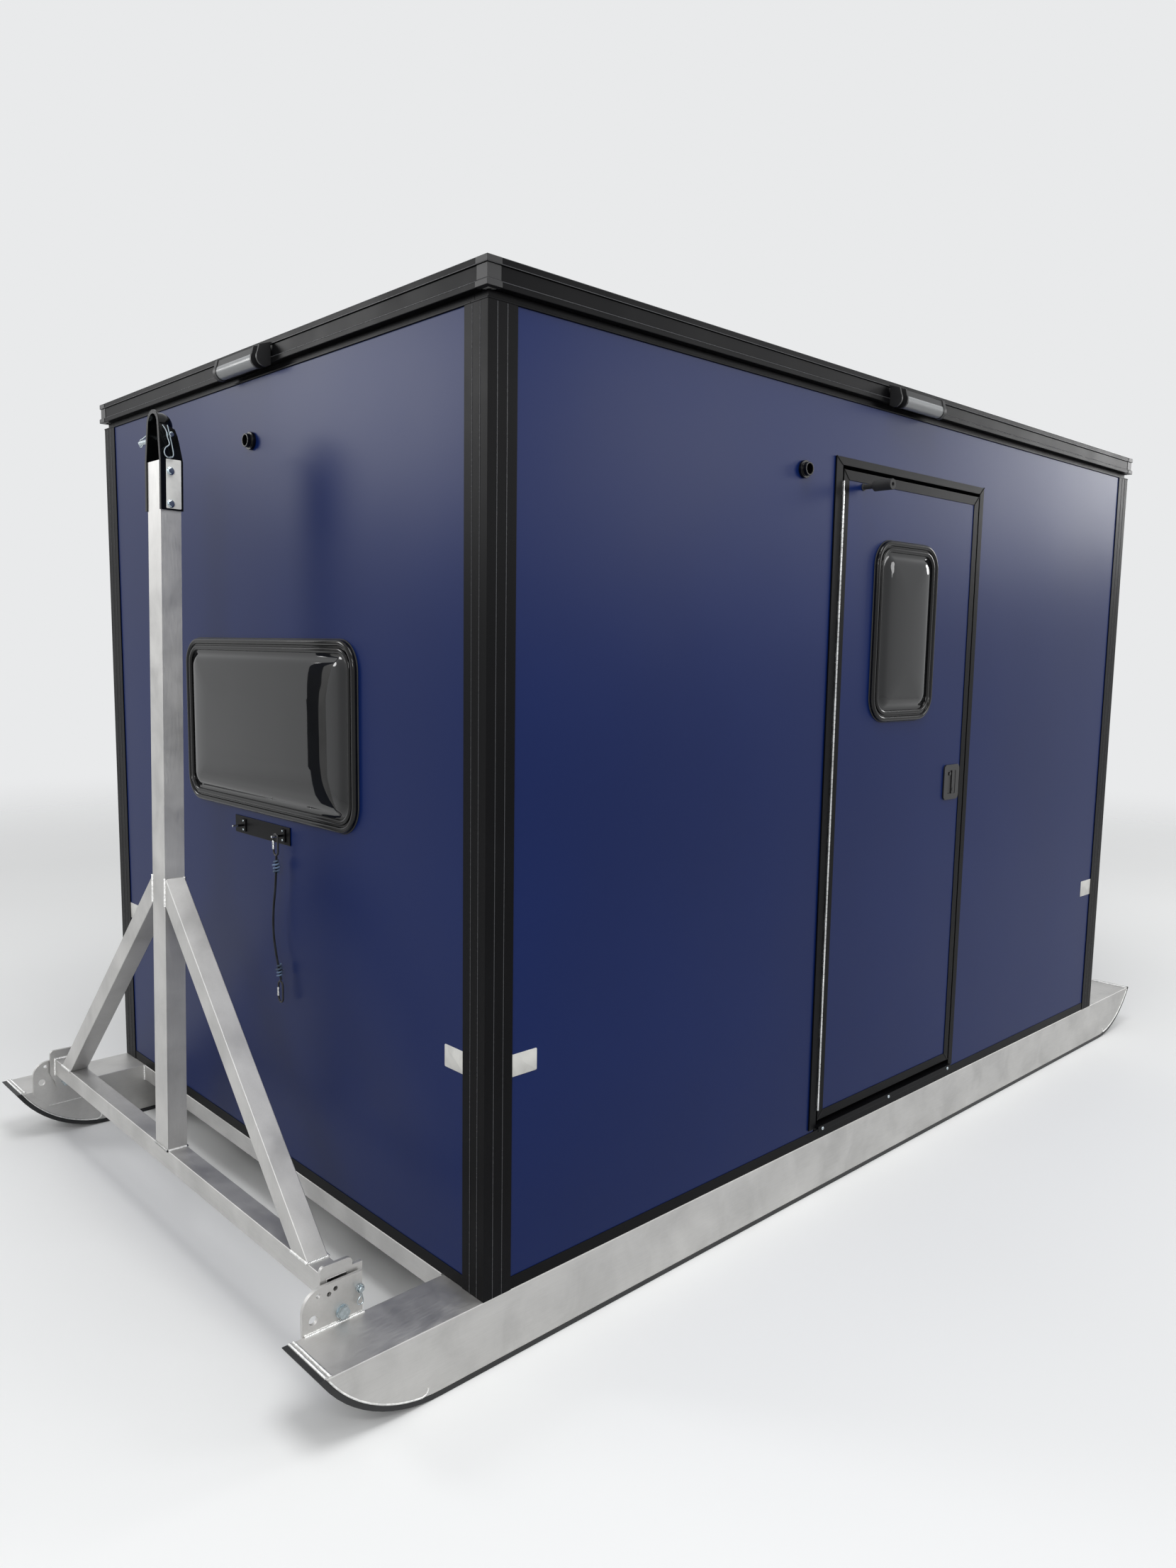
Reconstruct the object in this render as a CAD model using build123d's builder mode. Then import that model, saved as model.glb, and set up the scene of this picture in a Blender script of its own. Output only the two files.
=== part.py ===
from build123d import *
import os
from math import acos, atan2, cos, degrees, hypot, pi, radians, sin, tan

# Insulated ice fishing hut on two skis, with a folding tow hitch and one outward opening door.
#
# X runs along the hut from the hitch end (-X) to the rear end (+X).
# The door wall faces -Y. Z is up, and the ground is at Z = 0 under the ski runners.
# Y = 0 is halfway between the tip of the door stop and the roof edge of the back wall.
# All sizes are in millimetres.

os.makedirs("parts", exist_ok=True)

# Hut body, over the outer faces of the corner posts
hut_length = 3060.0
hut_width = 1960.0
wall_height = 2050.0
wall_thickness = 50.0
floor_thickness = 50.0
seat_gap = 0.3
running_clearance = 0.05

# Skis and what is under the floor
ski_width = 148.0
ski_depth = 148.0
runner_thickness = 12.0
nose_reach = 392.0
nose_radius = 320.0
nose_angle = 56.0
beam_depth = 50.0
beam_width = 50.0
beam_count = 6

# Corner posts, floor channel and top channel
post_leg = 75.0
post_core = 56.0
post_wall = 3.0
post_flange = 2.7
post_proud = 3.0
post_groove = 1.5
post_bands = 3
channel_height = 29.0
channel_gauge = 2.0
channel_proud = 1.5
neck_height = 20.0
neck_setback = 9.0
lip_height = 4.0
lip_proud = 1.0

# Roof edge
fascia_height = 57.0
fascia_reach = 10.0
fascia_face = 6.0
fascia_web = 2.0
fascia_flange = 25.0
fascia_gauge = 3.0
drip_height = 12.0
drip_slope = 3.0
fascia_round = 1.0
top_lip_height = 13.0
top_lip_reach = 9.0
seam_width = 1.6
seam_depth = 2.5
cap_leg = 37.0
cap_proud = 1.2

# Door, measured from the hut's hitch end, the ski top and the wall's top
door_frame_left = 1165.0
door_frame_right = 1962.0
door_frame_bottom = 37.0
door_frame_drop = 147.0
jamb_face = 30.0
latch_jamb_face = 24.0
head_face = 21.0
jamb_gauge = 4.0
rebate_lip = 16.0
rebate_gauge = 3.0
door_gap = 6.0
head_gap = 10.0
leaf_bottom = 60.0
leaf_thickness = 38.0
door_proud = 2.0
edge_trim_face = 26.0
edge_trim_gauge = 2.0
sill_height = 8.0
sill_reach = 12.0

# Piano hinge
knuckle_radius = 3.0
knuckle_length = 350.0
hinge_pin_radius = 1.5
hinge_leaf_width = 16.0
hinge_leaf_gauge = 1.2

# Door fittings, measured from the leaf's edges and from the frame's top
door_window_width = 326.0
door_window_height = 511.0
door_window_inset = 168.0
door_window_drop = 456.0
latch_width = 90.0
latch_height = 110.0
latch_corner = 14.0
latch_backset = 79.0
latch_centre_z = 988.0
latch_proud = 5.0
latch_recess_width = 47.0
latch_recess_height = 74.0
latch_recess_depth = 4.0
latch_recess_corner = 4.0
latch_paddle_width = 20.0
latch_paddle_depth = 3.0
latch_lock_radius = 5.5
latch_lock_place = (-10.0, 26.0)
latch_rivet_place = (12.0, -24.0)
door_stop_inset = 95.0
door_stop_drop = 68.0
door_stop_reach = 92.0
door_stop_base = 10.0
door_stop_base_gauge = 3.0
door_stop_stem = 7.0
door_stop_rubber = 56.0
door_stop_tip = 14.5
door_stop_recess = 5.0
door_stop_recess_depth = 10.0

# End windows, measured from the near corner and from the wall's top
end_window_width = 902.0
end_window_height = 458.0
end_window_centre_y = 931.0
end_window_drop = 880.0
window_corner_radius = 72.0
window_flange = 28.0
window_proud = 14.0
window_gauge = 4.0
window_bead = 15.0
window_groove = 4.0
window_groove_depth = 6.0
pane_thickness = 4.0
pane_seat = 8.0
pane_bulge = 16.0
pane_step = 26.0
pane_slope = 30.0
stay_width = 24.0
stay_gauge = 4.0
stay_inset = 60.0
stay_sag = 26.0
stay_setback = 5.0

# Cable ports
port_bore_radius = 13.0
port_nipple_radius = 17.0
port_collar_radius = 22.5
port_collar_height = 9.0
port_reach = 20.0
door_port_setback = 138.0
door_port_drop = 199.0
end_port_y = 975.0
end_port_drop = 150.0

# Hook plate and tether on the hitch end
hook_plate_width = 302.0
hook_plate_height = 47.0
hook_plate_gauge = 3.0
hook_plate_centre_y = 958.0
hook_plate_gap = 20.5
hook_inset = 33.0
hook_spacing = 217.0
hook_reach = 37.0
hook_rod_radius = 3.0
hook_pad_width = 22.0
hook_pad_height = 34.0
hook_pad_gauge = 3.0
tether_radius = 3.0
tether_reach = 22.0
clip_rod = 5.0
clip_height = 60.0
clip_width = 28.0

# Porch lights, in section from the drip lip outward and up from the roof edge's foot
light_length = 240.0
light_cap = 6.0
light_neck = 24.0
light_neck_inset = 9.0
light_far_cap = 14.0
light_rim = 2.0
light_foot = -4.0
light_top = 46.0
light_brow = (28.0, 36.0)
lens_head = (32.0, 20.0)
lens_bulge = (31.0, -3.0)
lens_foot = (12.0, -10.0)
door_light_start = 1391.0
end_light_start = 843.0

# Pivot plates on the skis, from the hitch end wall and the ski top
plate_thickness = 8.0
plate_front = 345.0
plate_rear = 205.0
plate_top = 90.0
plate_foot = 52.0
plate_corner = 45.0
plate_nose_foot = 9.0
towing_hole_reach = 320.0
towing_hole_height = 26.0
towing_hole_radius = 10.0
spare_holes = ((-308.0, 74.0), (-283.0, 68.0), (-268.0, 75.0))
spare_hole_radius = 5.0
pivot_reach = 254.0
pivot_height = 20.0
pivot_bolt_radius = 8.0
pivot_bolt_flats = 24.0
pivot_head = 10.0
washer_radius = 15.0
washer_gauge = 2.5
pivot_nut = 13.0
pivot_bolt_tail = 4.0
lock_reach = 41.0
lock_height = 36.0
lock_pin_radius = 6.0
lock_head_radius = 9.0
lock_head = 6.0
lock_stub = 6.0
lock_tail = 10.0
lock_clip_scale = 0.6
lock_clip_wire = 1.2
pin_clip_bends = (
    (-8.0, 21.0),
    (8.0, -46.0),
    (3.0, -53.0),
    (-6.0, -55.0),
    (-14.0, -51.0),
    (-17.0, -42.0),
    (-13.0, -32.0),
    (-4.0, -26.0),
    (-3.0, -20.0),
    (-9.5, -5.0),
    (-10.0, 7.0),
    (-20.0, 20.0),
)
plate_gap = 5.0

# Hitch, in its own frame: the pivot is the origin, and Z runs up the stowed mast
stow_lean = 1.1
mast_width = 76.0
tube_depth = 50.0
tube_gauge = 4.0
mast_front = 30.5
mast_top = 1800.0
crossbar_height = 50.0
crossbar_top = 75.0
brace_width = 50.0
brace_setback = 74.0
hitch_plate_top = 103.0
hitch_plate_front = 44.0
hitch_plate_rear = 32.0
hitch_plate_ear = 56.0
hitch_plate_ear_top = 84.0
hitch_plate_foot = 30.0
hitch_plate_round = 12.0

# Coupler, measured from the mast's top, and forward from the pivot's upright
coupler_gauge = 4.0
coupler_sleeve = 117.0
coupler_lip = 5.0
coupler_lip_gauge = 3.0
throat_back = ((-6.0, 42.0), (-9.5, 60.0), (-15.0, 76.0))
ball_rise = 85.0
ball_front = 16.0
socket_radius = 26.0
coupler_bolt_drops = (25.0, 102.0)
coupler_bolt_front = 8.0
coupler_bolt_flats = 14.0
coupler_bolt_head = 6.0
coupler_bolt_radius = 4.0
coupler_pin_rise = 57.0
coupler_pin_front = 4.0
coupler_pin_radius = 5.0
coupler_pin_end = 96.0
coupler_pin_tail = 52.0
coupler_clip_gap = 4.0
coupler_clip_wire = 1.8
bail_wire = 1.5
bail_bends = (
    (-18.0, -3.0),
    (-12.0, -9.0),
    (2.0, -9.0),
    (2.0, 9.0),
    (-14.0, 9.0),
    (-49.0, 17.0),
)

# Places worked out from the sizes above
deck_z = ski_depth + runner_thickness
end_x = hut_length / 2
near_y = -(hut_width + fascia_reach - door_stop_reach) / 2
far_y = near_y + hut_width
mid_y = (near_y + far_y) / 2
wall_top_z = deck_z + wall_height
fascia_z = wall_top_z + neck_height
roof_z = fascia_z + fascia_height
panel_foot_z = deck_z + channel_gauge
panel_head_z = wall_top_z - seat_gap
panel_inset = post_core + seat_gap
panel_back = post_proud + wall_thickness
pivot_x = -end_x - pivot_reach
pivot_z = deck_z + pivot_height
door_frame_top = wall_height - door_frame_drop
leaf_left = door_frame_left + jamb_face + door_gap
leaf_right = door_frame_right - latch_jamb_face - door_gap
leaf_top = door_frame_top - head_face - head_gap
hinge_x = -end_x + leaf_left - door_gap / 2
door_face_y = near_y - door_proud
hinge_y = door_face_y - knuckle_radius
end_window_centre_z = wall_height - end_window_drop
hook_height = end_window_centre_z - end_window_height / 2 - hook_plate_gap - hook_plate_height / 2
hook_along = hook_plate_centre_y - hook_plate_width / 2 + hook_inset
ball_height = mast_top + ball_rise
coupler_pin_height = mast_top + coupler_pin_rise


def block(x_span, y_span, z_span, mode=Mode.ADD):
    """A box given by its two faces along each axis."""
    spans = [sorted(span) for span in (x_span, y_span, z_span)]
    centre = tuple((low + high) / 2 for low, high in spans)
    with Locations(centre):
        return Box(*[high - low for low, high in spans], mode=mode)


def door_wall_plane(outward=0.0):
    """Faces -Y. Its x is along the hut from the hitch end wall, and its y is up from the ski top."""
    return Plane(origin=(-end_x, near_y - outward, deck_z), x_dir=(1, 0, 0), z_dir=(0, -1, 0))


def end_wall_plane(side, outward=0.0):
    """Faces outward at one end. Its x is along the wall from the hut's middle, and its y is up."""
    return Plane(
        origin=(side * (end_x + outward), mid_y, deck_z),
        x_dir=(0, side, 0),
        z_dir=(side, 0, 0),
    )


def end_wall_x(side, from_near_corner):
    """A place along an end wall's plane, for a distance from the hut's door side."""
    return side * (from_near_corner - hut_width / 2)


# Skis: flat on top, with the bottom curved up at both noses
def ski_outline(growth):
    """Side view of one ski, with its bottom and noses moved out by growth."""
    slant = radians(nose_angle)
    tip_x = end_x + nose_reach + (growth - runner_thickness) / sin(slant)
    bottom_z = deck_z - ski_depth - growth
    radius = nose_radius + growth
    slope_x = tip_x - (deck_z - bottom_z - radius * (1 - cos(slant))) / tan(slant)
    flat_x = slope_x - radius * sin(slant)
    with BuildSketch() as outline:
        with BuildLine():
            front = JernArc((-flat_x, bottom_z), (-1, 0), radius, -nose_angle)
            rear = JernArc((flat_x, bottom_z), (1, 0), radius, nose_angle)
            Line(front @ 0, rear @ 0)
            Polyline(front @ 1, (-tip_x, deck_z), (tip_x, deck_z), rear @ 1)
        make_face()
    return outline.sketch_local


def along_y(y):
    """Upright plane across the hut at a given y, facing -Y, with its x along the hut."""
    return Plane(origin=(0, y, 0), x_dir=(1, 0, 0), z_dir=(0, -1, 0))


with BuildPart() as ski_door_side:
    with BuildSketch(along_y(near_y)):
        add(ski_outline(0.0))
    extrude(amount=-ski_width)
ski_door_side.part.label = "ski_door_side"
export_step(ski_door_side.part, "parts/ski_door_side.step")

with BuildPart() as ski_back_side:
    with BuildSketch(along_y(far_y)):
        add(ski_outline(0.0))
    extrude(amount=ski_width)
ski_back_side.part.label = "ski_back_side"
export_step(ski_back_side.part, "parts/ski_back_side.step")

# Runners: plastic strips under the skis, up to both tips
with BuildPart() as ski_runners:
    for y in (near_y, far_y - ski_width):
        with BuildSketch(along_y(y)):
            add(ski_outline(runner_thickness))
            add(ski_outline(0.0), mode=Mode.SUBTRACT)
        extrude(amount=-ski_width)
ski_runners.part.label = "ski_runners"
export_step(ski_runners.part, "parts/ski_runners.step")

# Cross beams between the skis, carrying the floor
beam_pitch = (hut_length - beam_width) / (beam_count - 1)
with BuildPart() as cross_beams:
    for index in range(beam_count):
        left = -end_x + index * beam_pitch
        block(
            (left, left + beam_width),
            (near_y + ski_width, far_y - ski_width),
            (deck_z - beam_depth, deck_z),
        )
cross_beams.part.label = "cross_beams"
export_step(cross_beams.part, "parts/cross_beams.step")

# Floor, inside the channels that hold the walls
floor_inset = post_core + seat_gap
with BuildPart() as floor_panel:
    block(
        (-end_x + floor_inset, end_x - floor_inset),
        (near_y + floor_inset, far_y - floor_inset),
        (deck_z, deck_z + floor_thickness),
    )
floor_panel.part.label = "floor_panel"
export_step(floor_panel.part, "parts/floor_panel.step")


# Corner posts: square extrusions with flanges that lap the wall panels, and grooves between bands
def post_profile():
    """Plan view of a post in the corner at the origin, with its legs along +x and +y."""
    with BuildSketch() as profile:
        Rectangle(post_core, post_core, align=(Align.MIN, Align.MIN))
        Rectangle(post_leg, post_flange, align=(Align.MIN, Align.MIN))
        Rectangle(post_flange, post_leg, align=(Align.MIN, Align.MIN))
        hollow = post_core - 2 * post_wall
        with Locations((post_core / 2, post_core / 2)):
            Rectangle(hollow, hollow, mode=Mode.SUBTRACT)
        for band in range(1, post_bands):
            band_edge = band * post_leg / post_bands
            with Locations((band_edge, 0), (0, band_edge)):
                Rectangle(post_groove, post_groove, mode=Mode.SUBTRACT)
    return profile.sketch_local


with BuildPart() as corner_posts:
    for side_x in (-1, 1):
        for side_y in (-1, 1):
            corner = Plane(
                origin=(side_x * end_x, mid_y + side_y * hut_width / 2, deck_z),
                x_dir=(-side_x, 0, 0) if side_x == side_y else (0, -side_y, 0),
                z_dir=(0, 0, 1),
            )
            with BuildSketch(corner):
                add(post_profile())
            extrude(amount=wall_height)
corner_posts.part.label = "corner_posts"
export_step(corner_posts.part, "parts/corner_posts.step")


# Channels under the walls, from post to post
def channel_profile():
    """Section of the channel: x runs inward from the posts' outer plane, y runs up."""
    outer = post_proud - channel_proud
    inner = panel_back + channel_gauge
    with BuildSketch() as profile:
        Rectangle(inner, channel_gauge, align=(Align.MIN, Align.MIN))
        Rectangle(outer, channel_gauge, align=(Align.MIN, Align.MIN), mode=Mode.SUBTRACT)
        with Locations((outer, 0)):
            Rectangle(channel_proud - seat_gap, channel_height, align=(Align.MIN, Align.MIN))
        with Locations((panel_back + seat_gap, 0)):
            Rectangle(channel_gauge - seat_gap, channel_height, align=(Align.MIN, Align.MIN))
    return profile.sketch_local


long_run = hut_length - 2 * (post_leg + seat_gap)
short_run = hut_width - 2 * (post_leg + seat_gap)
with BuildPart() as floor_channels:
    for side in (-1, 1):
        long_wall = Plane(
            origin=(side * long_run / 2, mid_y + side * hut_width / 2, deck_z),
            x_dir=(0, -side, 0),
            z_dir=(-side, 0, 0),
        )
        with BuildSketch(long_wall):
            add(channel_profile())
        extrude(amount=long_run)
        short_wall = Plane(
            origin=(side * end_x, mid_y - side * short_run / 2, deck_z),
            x_dir=(-side, 0, 0),
            z_dir=(0, side, 0),
        )
        with BuildSketch(short_wall):
            add(channel_profile())
        extrude(amount=short_run)
floor_channels.part.label = "floor_channels"
export_step(floor_channels.part, "parts/floor_channels.step")


# End walls, each with a window opening
window_opening_width = end_window_width - 2 * window_flange
window_opening_height = end_window_height - 2 * window_flange
window_opening_radius = window_corner_radius - window_flange


def end_wall(side, with_port):
    """One end wall panel, standing in its channel between two posts."""
    with BuildPart() as panel:
        block(
            (side * (end_x - panel_back), side * (end_x - post_proud)),
            (near_y + panel_inset, far_y - panel_inset),
            (panel_foot_z, panel_head_z),
        )
        with BuildSketch(end_wall_plane(side)):
            with Locations((end_wall_x(side, end_window_centre_y), end_window_centre_z)):
                RectangleRounded(
                    window_opening_width, window_opening_height, window_opening_radius
                )
            if with_port:
                with Locations((end_wall_x(side, end_port_y), wall_height - end_port_drop)):
                    Circle(port_nipple_radius + seat_gap)
        extrude(amount=-panel_back, mode=Mode.SUBTRACT)
    return panel.part


with BuildPart() as wall_hitch_end:
    add(end_wall(-1, with_port=True))
wall_hitch_end.part.label = "wall_hitch_end"
export_step(wall_hitch_end.part, "parts/wall_hitch_end.step")

with BuildPart() as wall_rear_end:
    add(end_wall(1, with_port=False))
wall_rear_end.part.label = "wall_rear_end"
export_step(wall_rear_end.part, "parts/wall_rear_end.step")

# Long walls: the back in one panel, the door wall in three
with BuildPart() as wall_back:
    block(
        (-end_x + panel_inset, end_x - panel_inset),
        (far_y - panel_back, far_y - post_proud),
        (panel_foot_z, panel_head_z),
    )
wall_back.part.label = "wall_back"
export_step(wall_back.part, "parts/wall_back.step")

door_wall_y = (near_y + post_proud, near_y + panel_back)
door_port_place = (door_frame_left - door_port_setback, wall_height - door_port_drop)
frame_left_x = -end_x + door_frame_left
frame_right_x = -end_x + door_frame_right
with BuildPart() as wall_left_of_door:
    block(
        (-end_x + panel_inset, frame_left_x + jamb_face - jamb_gauge),
        door_wall_y,
        (panel_foot_z, panel_head_z),
    )
    with BuildSketch(door_wall_plane()):
        with Locations(door_port_place):
            Circle(port_nipple_radius + seat_gap)
    extrude(amount=-panel_back, mode=Mode.SUBTRACT)
wall_left_of_door.part.label = "wall_left_of_door"
export_step(wall_left_of_door.part, "parts/wall_left_of_door.step")

with BuildPart() as wall_right_of_door:
    block(
        (frame_right_x - latch_jamb_face + jamb_gauge, end_x - panel_inset),
        door_wall_y,
        (panel_foot_z, panel_head_z),
    )
wall_right_of_door.part.label = "wall_right_of_door"
export_step(wall_right_of_door.part, "parts/wall_right_of_door.step")

opening_left_x = frame_left_x + jamb_face
opening_right_x = frame_right_x - latch_jamb_face
opening_top_z = deck_z + door_frame_top - head_face
with BuildPart() as wall_over_door:
    block(
        (opening_left_x - jamb_gauge, opening_right_x + jamb_gauge),
        door_wall_y,
        (opening_top_z + jamb_gauge, panel_head_z),
    )
wall_over_door.part.label = "wall_over_door"
export_step(wall_over_door.part, "parts/wall_over_door.step")

# Lip and neck over the walls, under the roof
with BuildPart() as top_channels:
    for side in (-1, 1):
        wall_line = mid_y + side * hut_width / 2
        block(
            (-end_x - lip_proud, end_x + lip_proud),
            (wall_line - side * panel_back, wall_line + side * lip_proud),
            (wall_top_z, wall_top_z + lip_height),
        )
        block(
            (-end_x + neck_setback, end_x - neck_setback),
            (wall_line - side * panel_back, wall_line - side * neck_setback),
            (wall_top_z + lip_height, fascia_z),
        )
        short_half = hut_width / 2 - panel_back - seat_gap
        block(
            (side * (end_x - panel_back), side * (end_x + lip_proud)),
            (mid_y - short_half, mid_y + short_half),
            (wall_top_z, wall_top_z + lip_height),
        )
        block(
            (side * (end_x - panel_back), side * (end_x - neck_setback)),
            (mid_y - short_half, mid_y + short_half),
            (wall_top_z + lip_height, fascia_z),
        )
top_channels.part.label = "top_channels"
export_step(top_channels.part, "parts/top_channels.step")

# Roof panel, held in the roof edge
roof_half_x = end_x - fascia_web - seat_gap
roof_half_y = hut_width / 2 - fascia_web - seat_gap
with BuildPart() as roof_panel:
    block(
        (-roof_half_x, roof_half_x),
        (mid_y - roof_half_y, mid_y + roof_half_y),
        (fascia_z + fascia_gauge, roof_z - fascia_gauge - seat_gap),
    )
roof_panel.part.label = "roof_panel"
export_step(roof_panel.part, "parts/roof_panel.step")


# Roof edge: a channel round the roof panel, with a drip lip below and a lip above
def fascia_profile(depth, proud=0.0):
    """Section of the roof edge: x is outward from the posts' outer plane, y is up."""
    face = fascia_face + proud
    drip = fascia_reach + proud
    lip = top_lip_reach + proud
    seam_top = fascia_height - top_lip_height
    seam_bottom = seam_top - seam_width
    with BuildSketch() as profile:
        with BuildLine():
            Polyline(
                (-depth, 0),
                (drip - fascia_round, 0),
                (drip, fascia_round),
                (drip, drip_height),
                (face, drip_height + drip_slope),
                (face, seam_bottom),
                (face - seam_depth, seam_bottom),
                (face - seam_depth, seam_top),
                (lip, seam_top),
                (lip, fascia_height - fascia_round),
                (lip - fascia_round, fascia_height),
                (-depth, fascia_height),
                close=True,
            )
        make_face()
    return profile.sketch_local


def fascia_length(side, along_x, run):
    """One straight length of roof edge, on the inside cut to a channel for the roof panel."""
    if along_x:
        start = Plane(
            origin=(side * run / 2, mid_y + side * hut_width / 2, fascia_z),
            x_dir=(0, side, 0),
            z_dir=(side, 0, 0),
        )
    else:
        start = Plane(
            origin=(side * end_x, mid_y - side * run / 2, fascia_z),
            x_dir=(side, 0, 0),
            z_dir=(0, -side, 0),
        )
    with BuildPart() as length:
        with BuildSketch(start):
            add(fascia_profile(fascia_flange))
            with Locations((-fascia_web, fascia_height / 2)):
                Rectangle(
                    2 * fascia_flange,
                    fascia_height - 2 * fascia_gauge,
                    align=(Align.MAX, Align.CENTER),
                    mode=Mode.SUBTRACT,
                )
        extrude(amount=-run)
    return length.part


cap_back = cap_leg - fascia_reach
with BuildPart() as roof_edge:
    for side in (-1, 1):
        add(fascia_length(side, True, hut_length - 2 * cap_back - 2 * seat_gap))
        add(fascia_length(side, False, hut_width - 2 * cap_back - 2 * seat_gap))
roof_edge.part.label = "roof_edge"
export_step(roof_edge.part, "parts/roof_edge.step")


# Corner caps: moulded caps over the mitres of the roof edge
def corner_cap(side_x, side_y):
    """The two roof edge sections meeting at a corner, hollow behind for the roof panel."""
    corner_x = side_x * end_x
    corner_y = mid_y + side_y * hut_width / 2
    across = Plane(origin=(corner_x, corner_y, fascia_z), x_dir=(side_x, 0, 0), z_dir=(0, -side_x, 0))
    along = Plane(origin=(corner_x, corner_y, fascia_z), x_dir=(0, side_y, 0), z_dir=(side_y, 0, 0))
    with BuildPart() as cap:
        with BuildSketch(across):
            add(fascia_profile(cap_back, cap_proud))
        extrude(amount=2 * cap_leg, both=True)
        with BuildSketch(along):
            add(fascia_profile(cap_back, cap_proud))
        extrude(amount=2 * cap_leg, both=True, mode=Mode.INTERSECT)
        block(
            (side_x * (end_x - 2 * cap_leg), side_x * (end_x - fascia_web)),
            (corner_y - side_y * 2 * cap_leg, corner_y - side_y * fascia_web),
            (fascia_z - fascia_gauge, roof_z + fascia_gauge),
            mode=Mode.SUBTRACT,
        )
    return cap.part


with BuildPart() as roof_corner_caps:
    for side_x in (-1, 1):
        for side_y in (-1, 1):
            add(corner_cap(side_x, side_y))
roof_corner_caps.part.label = "roof_corner_caps"
export_step(roof_corner_caps.part, "parts/roof_corner_caps.step")

# Door frame: jambs and head that line the opening, lap the wall outside and stop the leaf inside
with BuildPart() as door_frame:
    frame_width = door_frame_right - door_frame_left
    frame_height = door_frame_top - door_frame_bottom
    frame_centre_z = (door_frame_top + door_frame_bottom) / 2
    opening_width = opening_right_x - opening_left_x
    opening_height = door_frame_top - head_face - door_frame_bottom
    opening_centre_x = (opening_left_x + opening_right_x) / 2 + end_x
    opening_centre_z = door_frame_bottom + opening_height / 2
    with BuildSketch(door_wall_plane(door_proud)):
        with Locations(((door_frame_left + door_frame_right) / 2, frame_centre_z)):
            Rectangle(frame_width, frame_height)
    extrude(amount=-(door_proud + post_flange))
    lining_width = opening_width + 2 * (jamb_gauge - seat_gap)
    lining_height = opening_height + jamb_gauge - seat_gap
    with BuildSketch(door_wall_plane()):
        with Locations((opening_centre_x, opening_centre_z + (jamb_gauge - seat_gap) / 2)):
            Rectangle(lining_width, lining_height)
    extrude(amount=-panel_back)
    with BuildSketch(door_wall_plane(door_proud)):
        with Locations((opening_centre_x, opening_centre_z)):
            Rectangle(opening_width, opening_height)
    extrude(amount=-(door_proud + panel_back - rebate_gauge), mode=Mode.SUBTRACT)
    with BuildSketch(door_wall_plane()):
        with Locations((opening_centre_x, opening_centre_z - rebate_lip / 2)):
            Rectangle(opening_width - 2 * rebate_lip, opening_height - rebate_lip)
    extrude(amount=-panel_back, mode=Mode.SUBTRACT)
door_frame.part.label = "door_frame"
export_step(door_frame.part, "parts/door_frame.step")

# Threshold under the door leaf, between the jambs, over the floor channel
threshold_top = door_frame_bottom + sill_height
with BuildPart() as door_sill:
    block(
        (opening_left_x + seat_gap, opening_right_x - seat_gap),
        (near_y - sill_reach, near_y + panel_back - rebate_gauge - seat_gap),
        (deck_z + door_frame_bottom, deck_z + threshold_top),
    )
    block(
        (opening_left_x + seat_gap, opening_right_x - seat_gap),
        (near_y + post_proud, near_y + panel_back - seat_gap),
        (deck_z + channel_gauge, deck_z + door_frame_bottom),
    )
    block(
        (opening_left_x + seat_gap, opening_right_x - seat_gap),
        (near_y - sill_reach, near_y - sill_reach + channel_gauge),
        (deck_z + channel_height, deck_z + threshold_top),
    )
door_sill.part.label = "door_sill"
export_step(door_sill.part, "parts/door_sill.step")

# Door leaf with its window opening, and the trim round its edge
leaf_width = leaf_right - leaf_left
leaf_height = leaf_top - leaf_bottom
leaf_centre = ((leaf_left + leaf_right) / 2, (leaf_top + leaf_bottom) / 2)
window_hole_width = door_window_width - 2 * window_flange
window_hole_height = door_window_height - 2 * window_flange
window_centre = (
    leaf_left + door_window_inset + door_window_width / 2,
    door_frame_top - door_window_drop,
)
with BuildPart() as door_leaf:
    with BuildSketch(door_wall_plane(door_proud - edge_trim_gauge)):
        with Locations(leaf_centre):
            Rectangle(leaf_width - 2 * edge_trim_gauge, leaf_height - 2 * edge_trim_gauge)
        with Locations(window_centre):
            RectangleRounded(
                window_hole_width, window_hole_height, window_opening_radius, mode=Mode.SUBTRACT
            )
    extrude(amount=-(leaf_thickness - 2 * edge_trim_gauge))
door_leaf.part.label = "door_leaf"
export_step(door_leaf.part, "parts/door_leaf.step")

with BuildPart() as door_edge_trim:
    with BuildSketch(door_wall_plane(door_proud)):
        with Locations(leaf_centre):
            Rectangle(leaf_width, leaf_height)
            Rectangle(
                leaf_width - 2 * edge_trim_face,
                leaf_height - 2 * edge_trim_face,
                mode=Mode.SUBTRACT,
            )
    extrude(amount=-leaf_thickness)
    with BuildSketch(door_wall_plane(door_proud - edge_trim_gauge)):
        with Locations(leaf_centre):
            Rectangle(leaf_width - 2 * edge_trim_gauge, leaf_height - 2 * edge_trim_gauge)
    extrude(amount=-(leaf_thickness - 2 * edge_trim_gauge), mode=Mode.SUBTRACT)
door_edge_trim.part.label = "door_edge_trim"
export_step(door_edge_trim.part, "parts/door_edge_trim.step")

# Piano hinge: its two strips stand in the gap beside the leaf, and their knuckles take turns on one pin
knuckle_count = int(leaf_height // knuckle_length)
hinge_length = knuckle_count * knuckle_length
hinge_foot_z = deck_z + leaf_bottom + (leaf_height - hinge_length) / 2
strip_depth = knuckle_radius + hinge_leaf_width


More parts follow.
